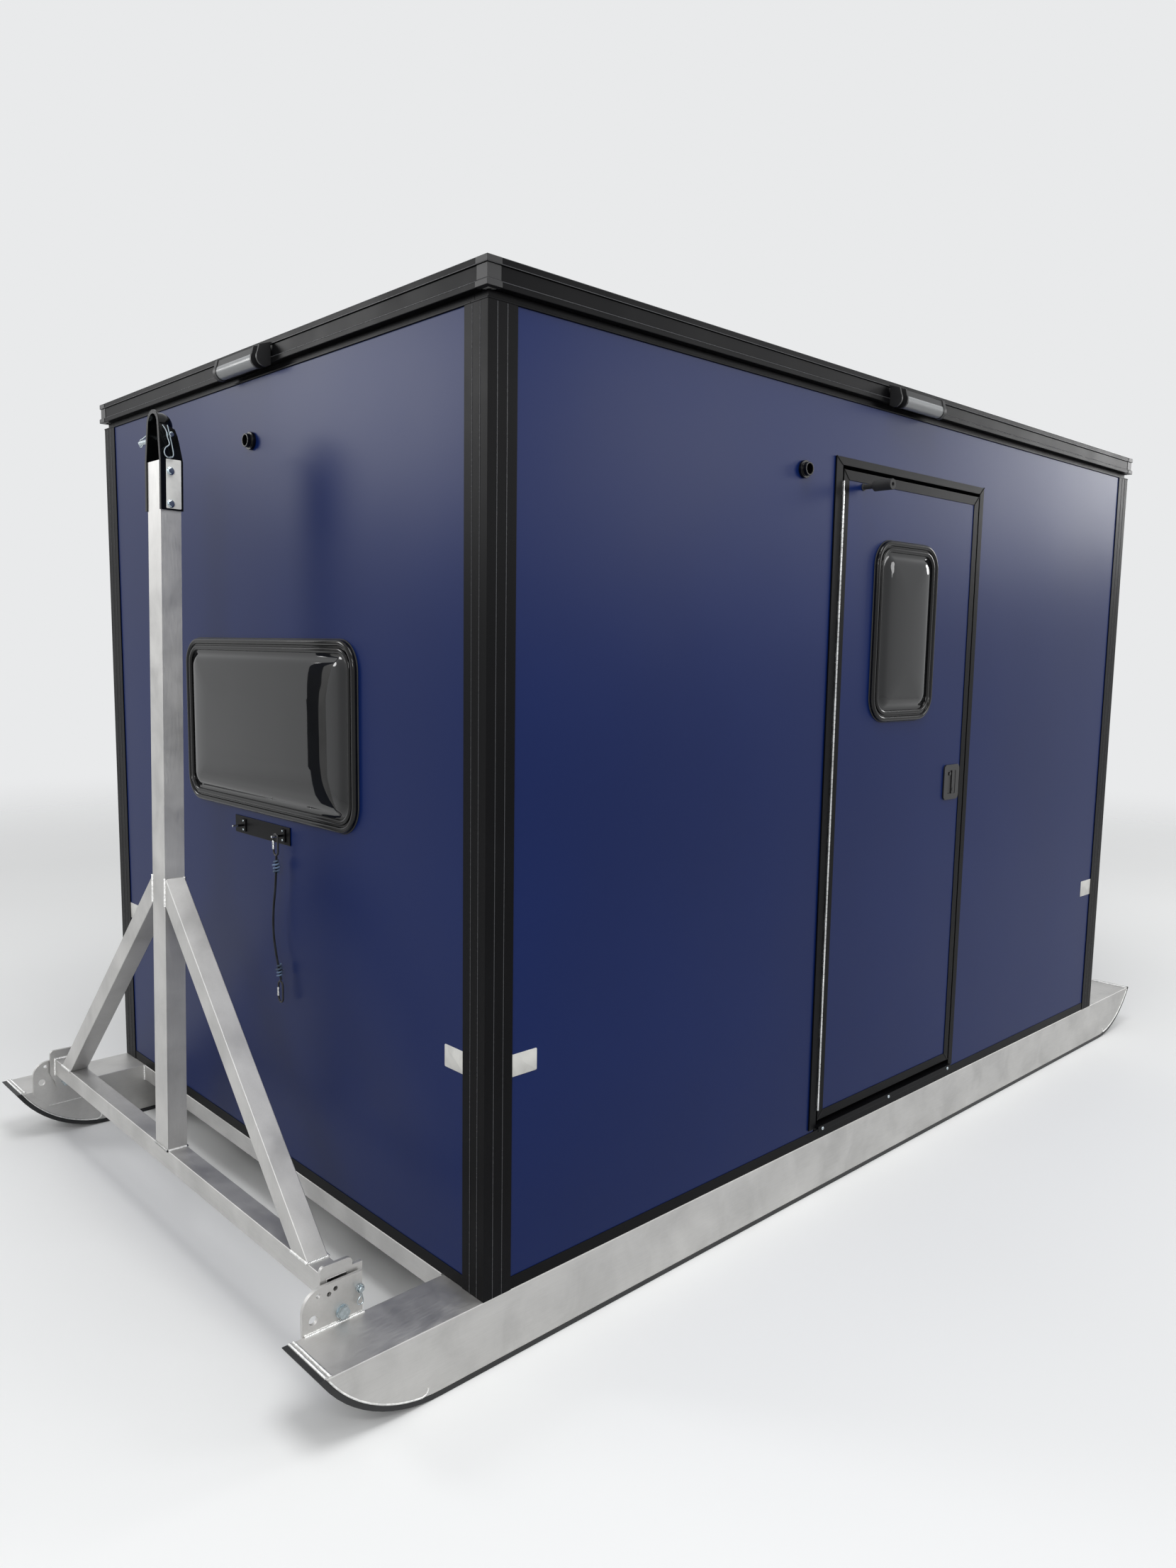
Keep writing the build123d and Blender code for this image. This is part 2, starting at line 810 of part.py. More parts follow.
def hinge_half(first_knuckle, side):
    """Every second knuckle, with the strip that carries them on one side of the pin."""
    with BuildPart() as half:
        for index in range(first_knuckle, knuckle_count, 2):
            foot = hinge_foot_z + index * knuckle_length + seat_gap / 2
            with BuildSketch(Plane(origin=(hinge_x, hinge_y, foot))):
                Circle(knuckle_radius)
                with Locations((side * (door_gap - hinge_leaf_gauge) / 2, strip_depth / 2)):
                    Rectangle(hinge_leaf_gauge, strip_depth)
                Circle(hinge_pin_radius + running_clearance, mode=Mode.SUBTRACT)
            extrude(amount=knuckle_length - seat_gap)
        block(
            (hinge_x + side * (door_gap / 2 - hinge_leaf_gauge), hinge_x + side * door_gap / 2),
            (door_face_y + seat_gap, door_face_y + hinge_leaf_width),
            (hinge_foot_z, hinge_foot_z + hinge_length),
        )
    return half.part


with BuildPart() as hinge_frame_strip:
    add(hinge_half(0, -1))
hinge_frame_strip.part.label = "hinge_frame_strip"
export_step(hinge_frame_strip.part, "parts/hinge_frame_strip.step")

with BuildPart() as hinge_leaf_strip:
    add(hinge_half(1, 1))
hinge_leaf_strip.part.label = "hinge_leaf_strip"
export_step(hinge_leaf_strip.part, "parts/hinge_leaf_strip.step")

with BuildPart() as hinge_pin:
    with BuildSketch(Plane(origin=(hinge_x, hinge_y, hinge_foot_z))):
        Circle(hinge_pin_radius)
    extrude(amount=hinge_length)
hinge_pin.part.label = "hinge_pin"
export_step(hinge_pin.part, "parts/hinge_pin.step")


# Windows: a rounded frame that laps the opening, and a bulged sheet in it
def window_frame(plane, centre, width, height, thickness):
    """Frame with a beaded flange outside, a sleeve through the opening and a ring inside."""
    groove_inset = window_bead + window_groove
    sleeve_width = width - 2 * window_flange - 2 * seat_gap
    sleeve_height = height - 2 * window_flange - 2 * seat_gap
    sleeve_radius = window_opening_radius - seat_gap
    with BuildPart() as frame:
        with BuildSketch(plane):
            with Locations(centre):
                RectangleRounded(width, height, window_corner_radius)
        extrude(amount=window_proud)
        with BuildSketch(plane.offset(window_proud)):
            with Locations(centre):
                RectangleRounded(
                    width - 2 * window_bead,
                    height - 2 * window_bead,
                    window_corner_radius - window_bead,
                )
                RectangleRounded(
                    width - 2 * groove_inset,
                    height - 2 * groove_inset,
                    window_corner_radius - groove_inset,
                    mode=Mode.SUBTRACT,
                )
        extrude(amount=-window_groove_depth, mode=Mode.SUBTRACT)
        with BuildSketch(plane):
            with Locations(centre):
                RectangleRounded(sleeve_width, sleeve_height, sleeve_radius)
        extrude(amount=-thickness)
        with BuildSketch(plane.offset(-thickness)):
            with Locations(centre):
                RectangleRounded(width - window_flange, height - window_flange, window_corner_radius)
        extrude(amount=-window_gauge)
        with BuildSketch(plane.offset(window_proud)):
            with Locations(centre):
                RectangleRounded(
                    sleeve_width - 2 * window_gauge,
                    sleeve_height - 2 * window_gauge,
                    sleeve_radius - window_gauge,
                )
        extrude(amount=-(window_proud + thickness + 2 * window_gauge), mode=Mode.SUBTRACT)
    return frame.part


def window_pane(plane, centre, width, height):
    """Sheet that fills a frame's opening, with its middle bulged outward past the frame."""
    sheet_width = width - 2 * window_flange - 2 * window_gauge - 4 * seat_gap
    sheet_height = height - 2 * window_flange - 2 * window_gauge - 4 * seat_gap
    sheet_radius = window_opening_radius - window_gauge - 2 * seat_gap
    with BuildPart() as pane:
        with BuildSketch(plane.offset(window_proud - pane_seat)):
            with Locations(centre):
                RectangleRounded(sheet_width, sheet_height, sheet_radius)
        extrude(amount=-pane_thickness)
        with BuildSketch(plane.offset(window_proud - pane_seat)):
            with Locations(centre):
                RectangleRounded(sheet_width - pane_step, sheet_height - pane_step, sheet_radius)
        extrude(amount=pane_bulge, taper=pane_slope)
    return pane.part


door_window_plane = door_wall_plane(door_proud - edge_trim_gauge)
door_core = leaf_thickness - 2 * edge_trim_gauge
with BuildPart() as door_window_frame:
    add(window_frame(door_window_plane, window_centre, door_window_width, door_window_height, door_core))
door_window_frame.part.label = "door_window_frame"
export_step(door_window_frame.part, "parts/door_window_frame.step")

with BuildPart() as door_window_pane:
    add(window_pane(door_window_plane, window_centre, door_window_width, door_window_height))
door_window_pane.part.label = "door_window_pane"
export_step(door_window_pane.part, "parts/door_window_pane.step")


def end_window_place(side):
    """Plane of an end wall's skin, and the window's centre on it."""
    centre = (end_wall_x(side, end_window_centre_y), end_window_centre_z)
    return end_wall_plane(side, -post_proud), centre


def stay_outline(hand):
    """A curved stay from the sleeve's foot to its head, bowed toward the window's middle."""
    outer_x = window_opening_width / 2 - stay_inset
    inner_x = outer_x - stay_width
    half = window_opening_height / 2 - window_gauge
    with BuildSketch() as outline:
        with BuildLine():
            outer = ThreePointArc(
                (hand * outer_x, -half), (hand * (outer_x - stay_sag), 0), (hand * outer_x, half)
            )
            inner = ThreePointArc(
                (hand * inner_x, -half), (hand * (inner_x - stay_sag), 0), (hand * inner_x, half)
            )
            Line(outer @ 0, inner @ 0)
            Line(outer @ 1, inner @ 1)
        make_face()
    return outline.sketch_local


stay_depth = window_proud - pane_seat - pane_thickness - stay_setback
with BuildPart() as end_window_frames:
    for side in (-1, 1):
        plane, centre = end_window_place(side)
        add(window_frame(plane, centre, end_window_width, end_window_height, wall_thickness))
        for hand in (-1, 1):
            with BuildSketch(plane.offset(stay_depth)):
                with Locations(centre):
                    add(stay_outline(hand))
            extrude(amount=-stay_gauge)
end_window_frames.part.label = "end_window_frames"
export_step(end_window_frames.part, "parts/end_window_frames.step")

with BuildPart() as end_window_panes:
    for side in (-1, 1):
        plane, centre = end_window_place(side)
        add(window_pane(plane, centre, end_window_width, end_window_height))
end_window_panes.part.label = "end_window_panes"
export_step(end_window_panes.part, "parts/end_window_panes.step")

# Door latch: a rounded plate with a recess, and in it a paddle, a lock and a rivet
latch_centre = Vector(leaf_right - latch_backset, latch_centre_z)
latch_floor = door_window_plane.offset(latch_proud - latch_recess_depth)
with BuildPart() as door_latch:
    with BuildSketch(door_window_plane):
        with Locations(latch_centre):
            RectangleRounded(latch_width, latch_height, latch_corner)
    extrude(amount=latch_proud)
    with BuildSketch(latch_floor):
        with Locations(latch_centre):
            RectangleRounded(latch_recess_width, latch_recess_height, latch_recess_corner)
    extrude(amount=latch_recess_depth, mode=Mode.SUBTRACT)
    with BuildSketch(latch_floor):
        with Locations(latch_centre + Vector((latch_recess_width - latch_paddle_width) / 2, 0)):
            Rectangle(latch_paddle_width, latch_recess_height)
    extrude(amount=latch_paddle_depth)
    for place in (latch_lock_place, latch_rivet_place):
        with BuildSketch(latch_floor):
            with Locations(latch_centre + Vector(*place)):
                Circle(latch_lock_radius)
        extrude(amount=latch_recess_depth)
door_latch.part.label = "door_latch"
export_step(door_latch.part, "parts/door_latch.step")

# Door stop: a hollow ended rubber buffer on a stem, just under the leaf's top trim
door_stop_foot = (leaf_left + door_stop_inset, door_frame_top - door_stop_drop)
with BuildPart() as door_stop:
    for radius, start, end in (
        (door_stop_base, 0, door_stop_base_gauge),
        (door_stop_stem, 0, door_stop_reach - door_stop_rubber),
        (door_stop_tip, door_stop_reach - door_stop_rubber, door_stop_reach),
    ):
        with BuildSketch(door_window_plane.offset(start)):
            with Locations(door_stop_foot):
                Circle(radius)
        extrude(amount=end - start)
    with BuildSketch(door_window_plane.offset(door_stop_reach)):
        with Locations(door_stop_foot):
            Circle(door_stop_recess)
    extrude(amount=-door_stop_recess_depth, mode=Mode.SUBTRACT)
door_stop.part.label = "door_stop"
export_step(door_stop.part, "parts/door_stop.step")


# Cable ports: a collar outside, with an open nipple that runs through the wall
def cable_port(plane, place):
    """A port on a wall's outer skin."""
    with BuildPart() as port:
        with BuildSketch(plane):
            with Locations(place):
                Circle(port_collar_radius)
        extrude(amount=port_collar_height)
        with BuildSketch(plane.offset(-wall_thickness)):
            with Locations(place):
                Circle(port_nipple_radius)
        extrude(amount=wall_thickness + port_reach)
        with BuildSketch(plane.offset(-wall_thickness)):
            with Locations(place):
                Circle(port_bore_radius)
        extrude(amount=wall_thickness + port_reach, mode=Mode.SUBTRACT)
    return port.part


with BuildPart() as cable_ports:
    end_port_place = (end_wall_x(-1, end_port_y), wall_height - end_port_drop)
    add(cable_port(door_wall_plane(-post_proud), door_port_place))
    add(cable_port(end_wall_plane(-1, -post_proud), end_port_place))
cable_ports.part.label = "cable_ports"
export_step(cable_ports.part, "parts/cable_ports.step")

# Hook plate on the hitch end wall, with two pegs on pads
hook_plate_plane = end_wall_plane(-1, -post_proud)
hook_places = [
    (end_wall_x(-1, hook_along), hook_height),
    (end_wall_x(-1, hook_along + hook_spacing), hook_height),
]
with BuildPart() as hook_plate:
    with BuildSketch(hook_plate_plane):
        with Locations((end_wall_x(-1, hook_plate_centre_y), hook_height)):
            Rectangle(hook_plate_width, hook_plate_height)
    extrude(amount=hook_plate_gauge)
hook_plate.part.label = "hook_plate"
export_step(hook_plate.part, "parts/hook_plate.step")

with BuildPart() as tie_hooks:
    for place in hook_places:
        with BuildSketch(hook_plate_plane.offset(hook_plate_gauge)):
            with Locations(place):
                Rectangle(hook_pad_width, hook_pad_height)
        extrude(amount=hook_pad_gauge)
        with BuildSketch(hook_plate_plane.offset(hook_plate_gauge)):
            with Locations(place):
                Circle(hook_rod_radius)
        extrude(amount=hook_reach - hook_plate_gauge)
tie_hooks.part.label = "tie_hooks"
export_step(tie_hooks.part, "parts/tie_hooks.step")


# Porch lights: a housing on the drip lip, with a bulged lens that faces down and outward
def light_plane(on_door_wall, along):
    """Section of a light at a distance from its near end: x is outward, and y is up."""
    if on_door_wall:
        origin = (-end_x + door_light_start + along, near_y - fascia_reach, fascia_z)
        return Plane(origin=origin, x_dir=(0, -1, 0), z_dir=(-1, 0, 0))
    origin = (-end_x - fascia_reach, near_y + end_light_start + along, fascia_z)
    return Plane(origin=origin, x_dir=(-1, 0, 0), z_dir=(0, 1, 0))


def light_length_of(outline, on_door_wall, start, end):
    """An outline carried along a light between two distances from its near end."""
    with BuildSketch(light_plane(on_door_wall, start)) as section:
        add(outline)
    return extrude(section.sketch, amount=(start - end) if on_door_wall else (end - start))


with BuildSketch() as light_body:
    with BuildLine():
        Polyline(lens_foot, (0, light_foot), (0, light_top), light_brow, lens_head, close=True)
    make_face()

with BuildSketch() as light_lens:
    with BuildLine():
        Line(lens_foot, lens_head)
        ThreePointArc(lens_head, lens_bulge, lens_foot)
    make_face()

with BuildSketch() as light_cap_outline:
    add(light_body.sketch_local)
    add(light_lens.sketch_local)
    offset(amount=light_rim, mode=Mode.REPLACE)
    Rectangle(2 * light_top, 4 * light_top, align=(Align.MAX, Align.CENTER), mode=Mode.SUBTRACT)

with BuildSketch() as light_neck_outline:
    add(light_body.sketch_local)
    offset(amount=-light_neck_inset, mode=Mode.REPLACE)

lens_start = light_cap + light_neck + light_cap
lens_end = light_length - light_far_cap
with BuildPart() as porch_light_housings:
    for on_door_wall in (True, False):
        light_length_of(light_cap_outline.sketch, on_door_wall, 0, light_cap)
        light_length_of(light_neck_outline.sketch, on_door_wall, light_cap, lens_start - light_cap)
        light_length_of(light_cap_outline.sketch, on_door_wall, lens_start - light_cap, lens_start)
        light_length_of(light_body.sketch, on_door_wall, lens_start, lens_end)
        light_length_of(light_cap_outline.sketch, on_door_wall, lens_end, light_length)
porch_light_housings.part.label = "porch_light_housings"
export_step(porch_light_housings.part, "parts/porch_light_housings.step")

with BuildPart() as porch_light_lenses:
    for on_door_wall in (True, False):
        light_length_of(light_lens.sketch, on_door_wall, lens_start, lens_end)
porch_light_lenses.part.label = "porch_light_lenses"
export_step(porch_light_lenses.part, "parts/porch_light_lenses.step")


# Folding hitch: planes that lean with the stowed mast, with their origin at the pivot
lean = radians(stow_lean)
lean_x = Vector(cos(lean), 0, -sin(lean))
lean_z = Vector(sin(lean), 0, cos(lean))
pivot = Vector(pivot_x, mid_y, pivot_z)


def hitch_level(height):
    """Across the mast at a height above the pivot, with x toward the wall."""
    return Plane(origin=pivot + lean_z * height, x_dir=lean_x, z_dir=lean_z)


def hitch_side(y):
    """Upright, facing -Y at a given y, with x toward the wall."""
    return Plane(origin=Vector(pivot_x, y, pivot_z), x_dir=lean_x, z_dir=(0, -1, 0))


def hitch_front(forward):
    """Upright, facing away from the hut, at a distance in front of the pivot."""
    return Plane(origin=pivot - lean_x * forward, x_dir=(0, -1, 0), z_dir=-lean_x)


tube_centre = tube_depth / 2 - mast_front
with BuildPart() as hitch_mast:
    with BuildSketch(hitch_level(crossbar_top)):
        with Locations((tube_centre, 0)):
            Rectangle(tube_depth, mast_width)
            Rectangle(tube_depth - 2 * tube_gauge, mast_width - 2 * tube_gauge, mode=Mode.SUBTRACT)
    extrude(amount=mast_top - crossbar_top)
    for drop in coupler_bolt_drops:
        with BuildSketch(hitch_side(mid_y + mast_width / 2)):
            with Locations((-coupler_bolt_front, mast_top - drop)):
                Circle(coupler_bolt_radius + running_clearance)
        extrude(amount=mast_width, mode=Mode.SUBTRACT)
hitch_mast.part.label = "hitch_mast"
export_step(hitch_mast.part, "parts/hitch_mast.step")

hitch_plate_y = near_y + ski_width + plate_thickness + plate_gap
crossbar_length = 2 * (mid_y - hitch_plate_y)
crossbar_centre = (tube_centre, crossbar_top - crossbar_height / 2)
brace_foot = crossbar_length / 2 - brace_setback
with BuildPart() as hitch_crossbar:
    with BuildSketch(hitch_side(hitch_plate_y)):
        with Locations(crossbar_centre):
            Rectangle(tube_depth, crossbar_height)
            Rectangle(
                tube_depth - 2 * tube_gauge,
                crossbar_height - 2 * tube_gauge,
                mode=Mode.SUBTRACT,
            )
    extrude(amount=-crossbar_length)
hitch_crossbar.part.label = "hitch_crossbar"
export_step(hitch_crossbar.part, "parts/hitch_crossbar.step")


def brace_section(inset):
    """A brace at 45 degrees between the crossbar's top and the mast's side, for one side."""
    run = brace_foot - mast_width / 2
    across = (brace_width - 2 * inset) / sin(radians(45))
    outer_foot = brace_foot - inset / sin(radians(45))
    with BuildSketch() as section:
        with BuildLine():
            Polyline(
                (outer_foot, crossbar_top),
                (mast_width / 2, crossbar_top + outer_foot - mast_width / 2),
                (mast_width / 2, crossbar_top + outer_foot - mast_width / 2 - across),
                (outer_foot - across, crossbar_top),
                close=True,
            )
        make_face()
    return section.sketch_local


with BuildPart() as hitch_braces:
    for mirrored in (False, True):
        with BuildSketch(hitch_front(mast_front)):
            add(mirror(brace_section(0), Plane.YZ) if mirrored else brace_section(0))
        extrude(amount=-tube_depth)
        with BuildSketch(hitch_front(mast_front - tube_gauge)):
            hollow = brace_section(tube_gauge)
            add(mirror(hollow, Plane.YZ) if mirrored else hollow)
        extrude(amount=-(tube_depth - 2 * tube_gauge), mode=Mode.SUBTRACT)
hitch_braces.part.label = "hitch_braces"
export_step(hitch_braces.part, "parts/hitch_braces.step")


# Plates on the crossbar's ends: pivot hole below, and an ear that rests on the lock pin
lock_angle = degrees(atan2(lock_height, lock_reach))


def hitch_plate_outline():
    """Outline round the pivot, with the crossbar's hole and a half round seat for the lock pin."""
    ear_foot = hitch_plate_ear * lock_height / lock_reach
    with BuildSketch() as outline:
        with BuildLine():
            foot = CenterArc((0, 0), hitch_plate_foot, 180, 180 + lock_angle)
            Polyline(
                foot @ 1,
                (hitch_plate_ear, ear_foot),
                (hitch_plate_ear, hitch_plate_ear_top),
                (hitch_plate_rear, hitch_plate_ear_top),
                (hitch_plate_rear, hitch_plate_top),
                (-hitch_plate_front, hitch_plate_top),
                (-hitch_plate_front, hitch_plate_foot),
                foot @ 0,
            )
        make_face()
        fillet(outline.vertices().sort_by(Axis.Y)[-2:], radius=hitch_plate_round)
        fillet(outline.vertices().sort_by(Axis.X)[-1], radius=hitch_plate_round / 2)
        with Locations((lock_reach, lock_height)):
            Circle(lock_pin_radius + seat_gap, mode=Mode.SUBTRACT)
        Circle(pivot_bolt_radius + running_clearance, mode=Mode.SUBTRACT)
        with Locations(crossbar_centre):
            Rectangle(tube_depth, crossbar_height, mode=Mode.SUBTRACT)
    return outline.sketch_local


with BuildPart() as hitch_end_plates:
    for y, inward in ((hitch_plate_y, -1), (far_y - (hitch_plate_y - near_y), 1)):
        with BuildSketch(hitch_side(y)):
            add(hitch_plate_outline())
        extrude(amount=inward * plate_thickness)
hitch_end_plates.part.label = "hitch_end_plates"
export_step(hitch_end_plates.part, "parts/hitch_end_plates.step")

# Coupler: a flanged channel round the mast's top, which draws in to a domed ball socket
coupler_half = mast_width / 2 + coupler_gauge
ball_centre = pivot - lean_x * ball_front + lean_z * ball_height
ball_axis = Axis(ball_centre, lean_x)


def front_outline(growth):
    """Front view of the coupler's opening, from the sleeve's foot to the arch round the ball."""
    half = mast_width / 2 + growth
    crown = socket_radius + growth
    slant = hypot(half, ball_rise)
    crown_angle = acos(crown / slant) - atan2(ball_rise, half)
    crown_x = crown * cos(crown_angle)
    crown_z = ball_height + crown * sin(crown_angle)
    with BuildSketch() as outline:
        with BuildLine():
            ThreePointArc((-crown_x, crown_z), (0, ball_height + crown), (crown_x, crown_z))
            Polyline(
                (crown_x, crown_z),
                (half, mast_top),
                (half, mast_top - coupler_sleeve),
                (-half, mast_top - coupler_sleeve),
                (-half, mast_top),
                (-crown_x, crown_z),
            )
        make_face()
    return outline.sketch_local


def side_outline(inset):
    """Side view of the stretch over the mast, with its back drawn in toward the ball."""
    back = tube_depth - mast_front + coupler_gauge - inset
    with BuildSketch() as outline:
        with BuildLine():
            Polyline(
                (-mast_front, mast_top),
                (back, mast_top),
                *[(back + drawn_in, mast_top + rise) for drawn_in, rise in throat_back],
                (-ball_front, ball_height),
                (-mast_front, ball_height),
                close=True,
            )
        make_face()
    return outline.sketch_local


def throat(inset):
    """The stretch between the mast's top and the ball, where both outlines overlap."""
    with BuildPart() as stretch:
        with BuildSketch(hitch_side(mid_y)):
            add(side_outline(inset))
        extrude(amount=coupler_half, both=True)
        with BuildSketch(hitch_front(mast_front)):
            add(front_outline(coupler_gauge - inset))
        extrude(amount=-(tube_depth + coupler_gauge), mode=Mode.INTERSECT)
    return stretch.part


def ball_cup(radius):
    """A round cup about the ball's centre: a tube from the lip back, closed by half a sphere."""
    with BuildPart() as cup:
        with BuildSketch(hitch_side(mid_y)):
            with BuildLine():
                dome = CenterArc((-ball_front, ball_height), radius, 0, 90)
                Polyline(dome @ 1, (-mast_front, ball_height + radius), (-mast_front, ball_height), dome @ 0)
            make_face()
        revolve(axis=ball_axis)
    return cup.part


with BuildPart() as coupler:
    with BuildSketch(hitch_level(mast_top - coupler_sleeve)):
        with Locations(((tube_depth + coupler_gauge) / 2 - mast_front, 0)):
            Rectangle(tube_depth + coupler_gauge, 2 * coupler_half)
        with Locations((tube_centre, 0)):
            Rectangle(tube_depth, mast_width, mode=Mode.SUBTRACT)
    extrude(amount=coupler_sleeve)
    add(throat(0))
    add(ball_cup(socket_radius + coupler_gauge))
    with BuildSketch(hitch_front(mast_front)):
        add(front_outline(coupler_gauge + coupler_lip))
        add(front_outline(0), mode=Mode.SUBTRACT)
    extrude(amount=coupler_lip_gauge)
    add(throat(coupler_gauge), mode=Mode.SUBTRACT)
    add(ball_cup(socket_radius), mode=Mode.SUBTRACT)
    with BuildSketch(hitch_side(mid_y + coupler_half)):
        with Locations((-coupler_pin_front, coupler_pin_height)):
            Circle(coupler_pin_radius + running_clearance)
        for drop in coupler_bolt_drops:
            with Locations((-coupler_bolt_front, mast_top - drop)):
                Circle(coupler_bolt_radius + running_clearance)
    extrude(amount=2 * coupler_half, mode=Mode.SUBTRACT)
coupler.part.label = "coupler"
export_step(coupler.part, "parts/coupler.step")


def wire_along(plane, points, wire):
    """A bent wire through the points of a plane, six sided, with mitred bends."""
    with BuildLine(plane) as path:
        Polyline(*points)
    with BuildSketch(Plane(origin=path.line @ 0, z_dir=path.line % 0)) as section:
        RegularPolygon(wire, 6)
    return sweep(section.sketch, path=path.line, transition=Transition.RIGHT)


def spring_pin(plane, scale, wire):
    """A clip through the cross pin at the plane's origin, with one straight leg and one waved leg."""
    return wire_along(plane, [(scale * x, scale * y) for x, y in pin_clip_bends], wire)


pin_place = pivot - lean_x * coupler_pin_front + lean_z * coupler_pin_height
with BuildPart() as coupler_hardware:
    for drop in coupler_bolt_drops:
        bolt_place = (-coupler_bolt_front, mast_top - drop)
        with BuildSketch(hitch_side(mid_y + coupler_half)):
            with Locations(bolt_place):
                Circle(coupler_bolt_radius)
        extrude(amount=2 * coupler_half)
        for side in (-1, 1):
            with BuildSketch(hitch_side(mid_y + side * coupler_half)):
                with Locations(bolt_place):
                    RegularPolygon(coupler_bolt_flats / 2, 6, major_radius=False)
            extrude(amount=-side * coupler_bolt_head)
    with BuildSketch(hitch_side(mid_y + coupler_pin_end)):
        with Locations((-coupler_pin_front, coupler_pin_height)):
            Circle(coupler_pin_radius)
    extrude(amount=coupler_pin_end + coupler_pin_tail)
    clip_origin = Vector(pin_place.X, mid_y - coupler_half - coupler_clip_gap, pin_place.Z)
    spring_pin(Plane(origin=clip_origin, x_dir=lean_x, z_dir=(0, -1, 0)), 1, coupler_clip_wire)
    pin_tip = pin_place + Vector(0, coupler_pin_end, 0)
    wire_along(Plane(origin=pin_tip, x_dir=(0, 1, 0), z_dir=lean_x), bail_bends, bail_wire)
coupler_hardware.part.label = "coupler_hardware"
export_step(coupler_hardware.part, "parts/coupler_hardware.step")


# Pivot plates: welded on the inner side of each ski's nose
def pivot_plate_outline():
    """Outline from the hitch end wall and the ski top, with the towing and lock holes."""
    with BuildSketch() as outline:
        with BuildLine():
            corner = JernArc((-plate_front, plate_top - plate_corner), (0, 1), plate_corner, -90)
            Polyline(
                corner @ 1,
                (-plate_rear, plate_top),
                (-plate_rear, -plate_foot),
                (-plate_front + plate_foot - plate_nose_foot, -plate_foot),
                (-plate_front, -plate_nose_foot),
                corner @ 0,
            )
        make_face()
        with Locations((-towing_hole_reach, towing_hole_height)):
            Circle(towing_hole_radius, mode=Mode.SUBTRACT)
        with Locations(*spare_holes):
            Circle(spare_hole_radius, mode=Mode.SUBTRACT)
        with Locations((-pivot_reach, pivot_height)):
            Circle(pivot_bolt_radius + running_clearance, mode=Mode.SUBTRACT)
        with Locations((lock_x + end_x, lock_z - deck_z)):
            Circle(lock_pin_radius + running_clearance, mode=Mode.SUBTRACT)
    return outline.sketch_local


lock_x = pivot_x + lock_reach * cos(lean) + lock_height * sin(lean)
lock_z = pivot_z - lock_reach * sin(lean) + lock_height * cos(lean)
with BuildPart() as pivot_plates:
    for y, inward in ((near_y + ski_width, -1), (far_y - ski_width, 1)):
        with BuildSketch(Plane(origin=(-end_x, y, deck_z), x_dir=(1, 0, 0), z_dir=(0, -1, 0))):
            add(pivot_plate_outline())
        extrude(amount=inward * plate_thickness)
pivot_plates.part.label = "pivot_plates"
export_step(pivot_plates.part, "parts/pivot_plates.step")


def cross_plane(x, z, side, start):
    """Faces outward along Y at (x, z), a distance in from a pivot plate's outer face."""
    y = mid_y + side * (hut_width / 2 - ski_width - start)
    return Plane(origin=(x, y, z), x_dir=(1, 0, 0), z_dir=(0, side, 0))


def turned(x, z, side, radius, start, end):
    """A round along Y, between two distances in from a pivot plate's outer face."""
    with BuildSketch(cross_plane(x, z, side, start)) as section:
        Circle(radius)
    return extrude(section.sketch, amount=start - end)


def hexagon(x, z, side, flats, start, end):
    """A hexagon along Y, between two distances in from a pivot plate's outer face."""
    with BuildSketch(cross_plane(x, z, side, start)) as section:
        RegularPolygon(flats / 2, 6, major_radius=False)
    return extrude(section.sketch, amount=start - end)


stack = 2 * plate_thickness + plate_gap
with BuildPart() as pivot_bolts:
    for side in (-1, 1):
        turned(pivot_x, pivot_z, side, washer_radius, -washer_gauge, 0)
        hexagon(pivot_x, pivot_z, side, pivot_bolt_flats, -washer_gauge - pivot_head, -washer_gauge)
        turned(pivot_x, pivot_z, side, pivot_bolt_radius, -washer_gauge, stack + pivot_nut + pivot_bolt_tail)
        turned(pivot_x, pivot_z, side, washer_radius, plate_thickness, plate_thickness + plate_gap - seat_gap)
        hexagon(pivot_x, pivot_z, side, pivot_bolt_flats, stack + seat_gap, stack + seat_gap + pivot_nut)
pivot_bolts.part.label = "pivot_bolts"
export_step(pivot_bolts.part, "parts/pivot_bolts.step")

with BuildPart() as lock_pins:
    for side in (-1, 1):
        turned(lock_x, lock_z, side, lock_head_radius, -lock_head, 0)
        turned(lock_x, lock_z, side, lock_pin_radius, -lock_head - lock_stub, stack + lock_tail)
        clip_y = mid_y + side * (hut_width / 2 - ski_width + lock_head + lock_stub / 2)
        clip_plane = Plane(origin=(lock_x, clip_y, lock_z), x_dir=(1, 0, 0), z_dir=(0, -1, 0))
        spring_pin(clip_plane, lock_clip_scale, lock_clip_wire)
lock_pins.part.label = "lock_pins"
export_step(lock_pins.part, "parts/lock_pins.step")


# Tether: a cord between two spring clips, hung on the hook nearer the door
def wall_point(from_near_corner, height):
    """A point in front of the hitch end wall, at the tether's distance from it."""
    return (-end_x - tether_reach, near_y + from_near_corner, deck_z + height)


clip_head = hook_height + hook_rod_radius + seat_gap + clip_rod
cord_head = clip_head - clip_height - seat_gap
tether_drops = ((-2, 0), (2, 70), (23, 155), (18, 243), (-16, 323))
tether_route = [wall_point(hook_along + along, cord_head - drop) for along, drop in tether_drops]
lower_clip_along = -13.0
lower_clip_drop = 324.5


def cord_radii(route):
    """The largest arc at each corner of a route that its two runs allow."""
    points = [Vector(*point) for point in route]
    radii = []
    for before, corner, after in zip(points, points[1:], points[2:]):
        run_in, run_out = corner - before, after - corner
        half_turn = radians(run_in.get_angle(run_out)) / 2
        radii.append(0.45 * min(run_in.length, run_out.length) / tan(half_turn))
    return radii


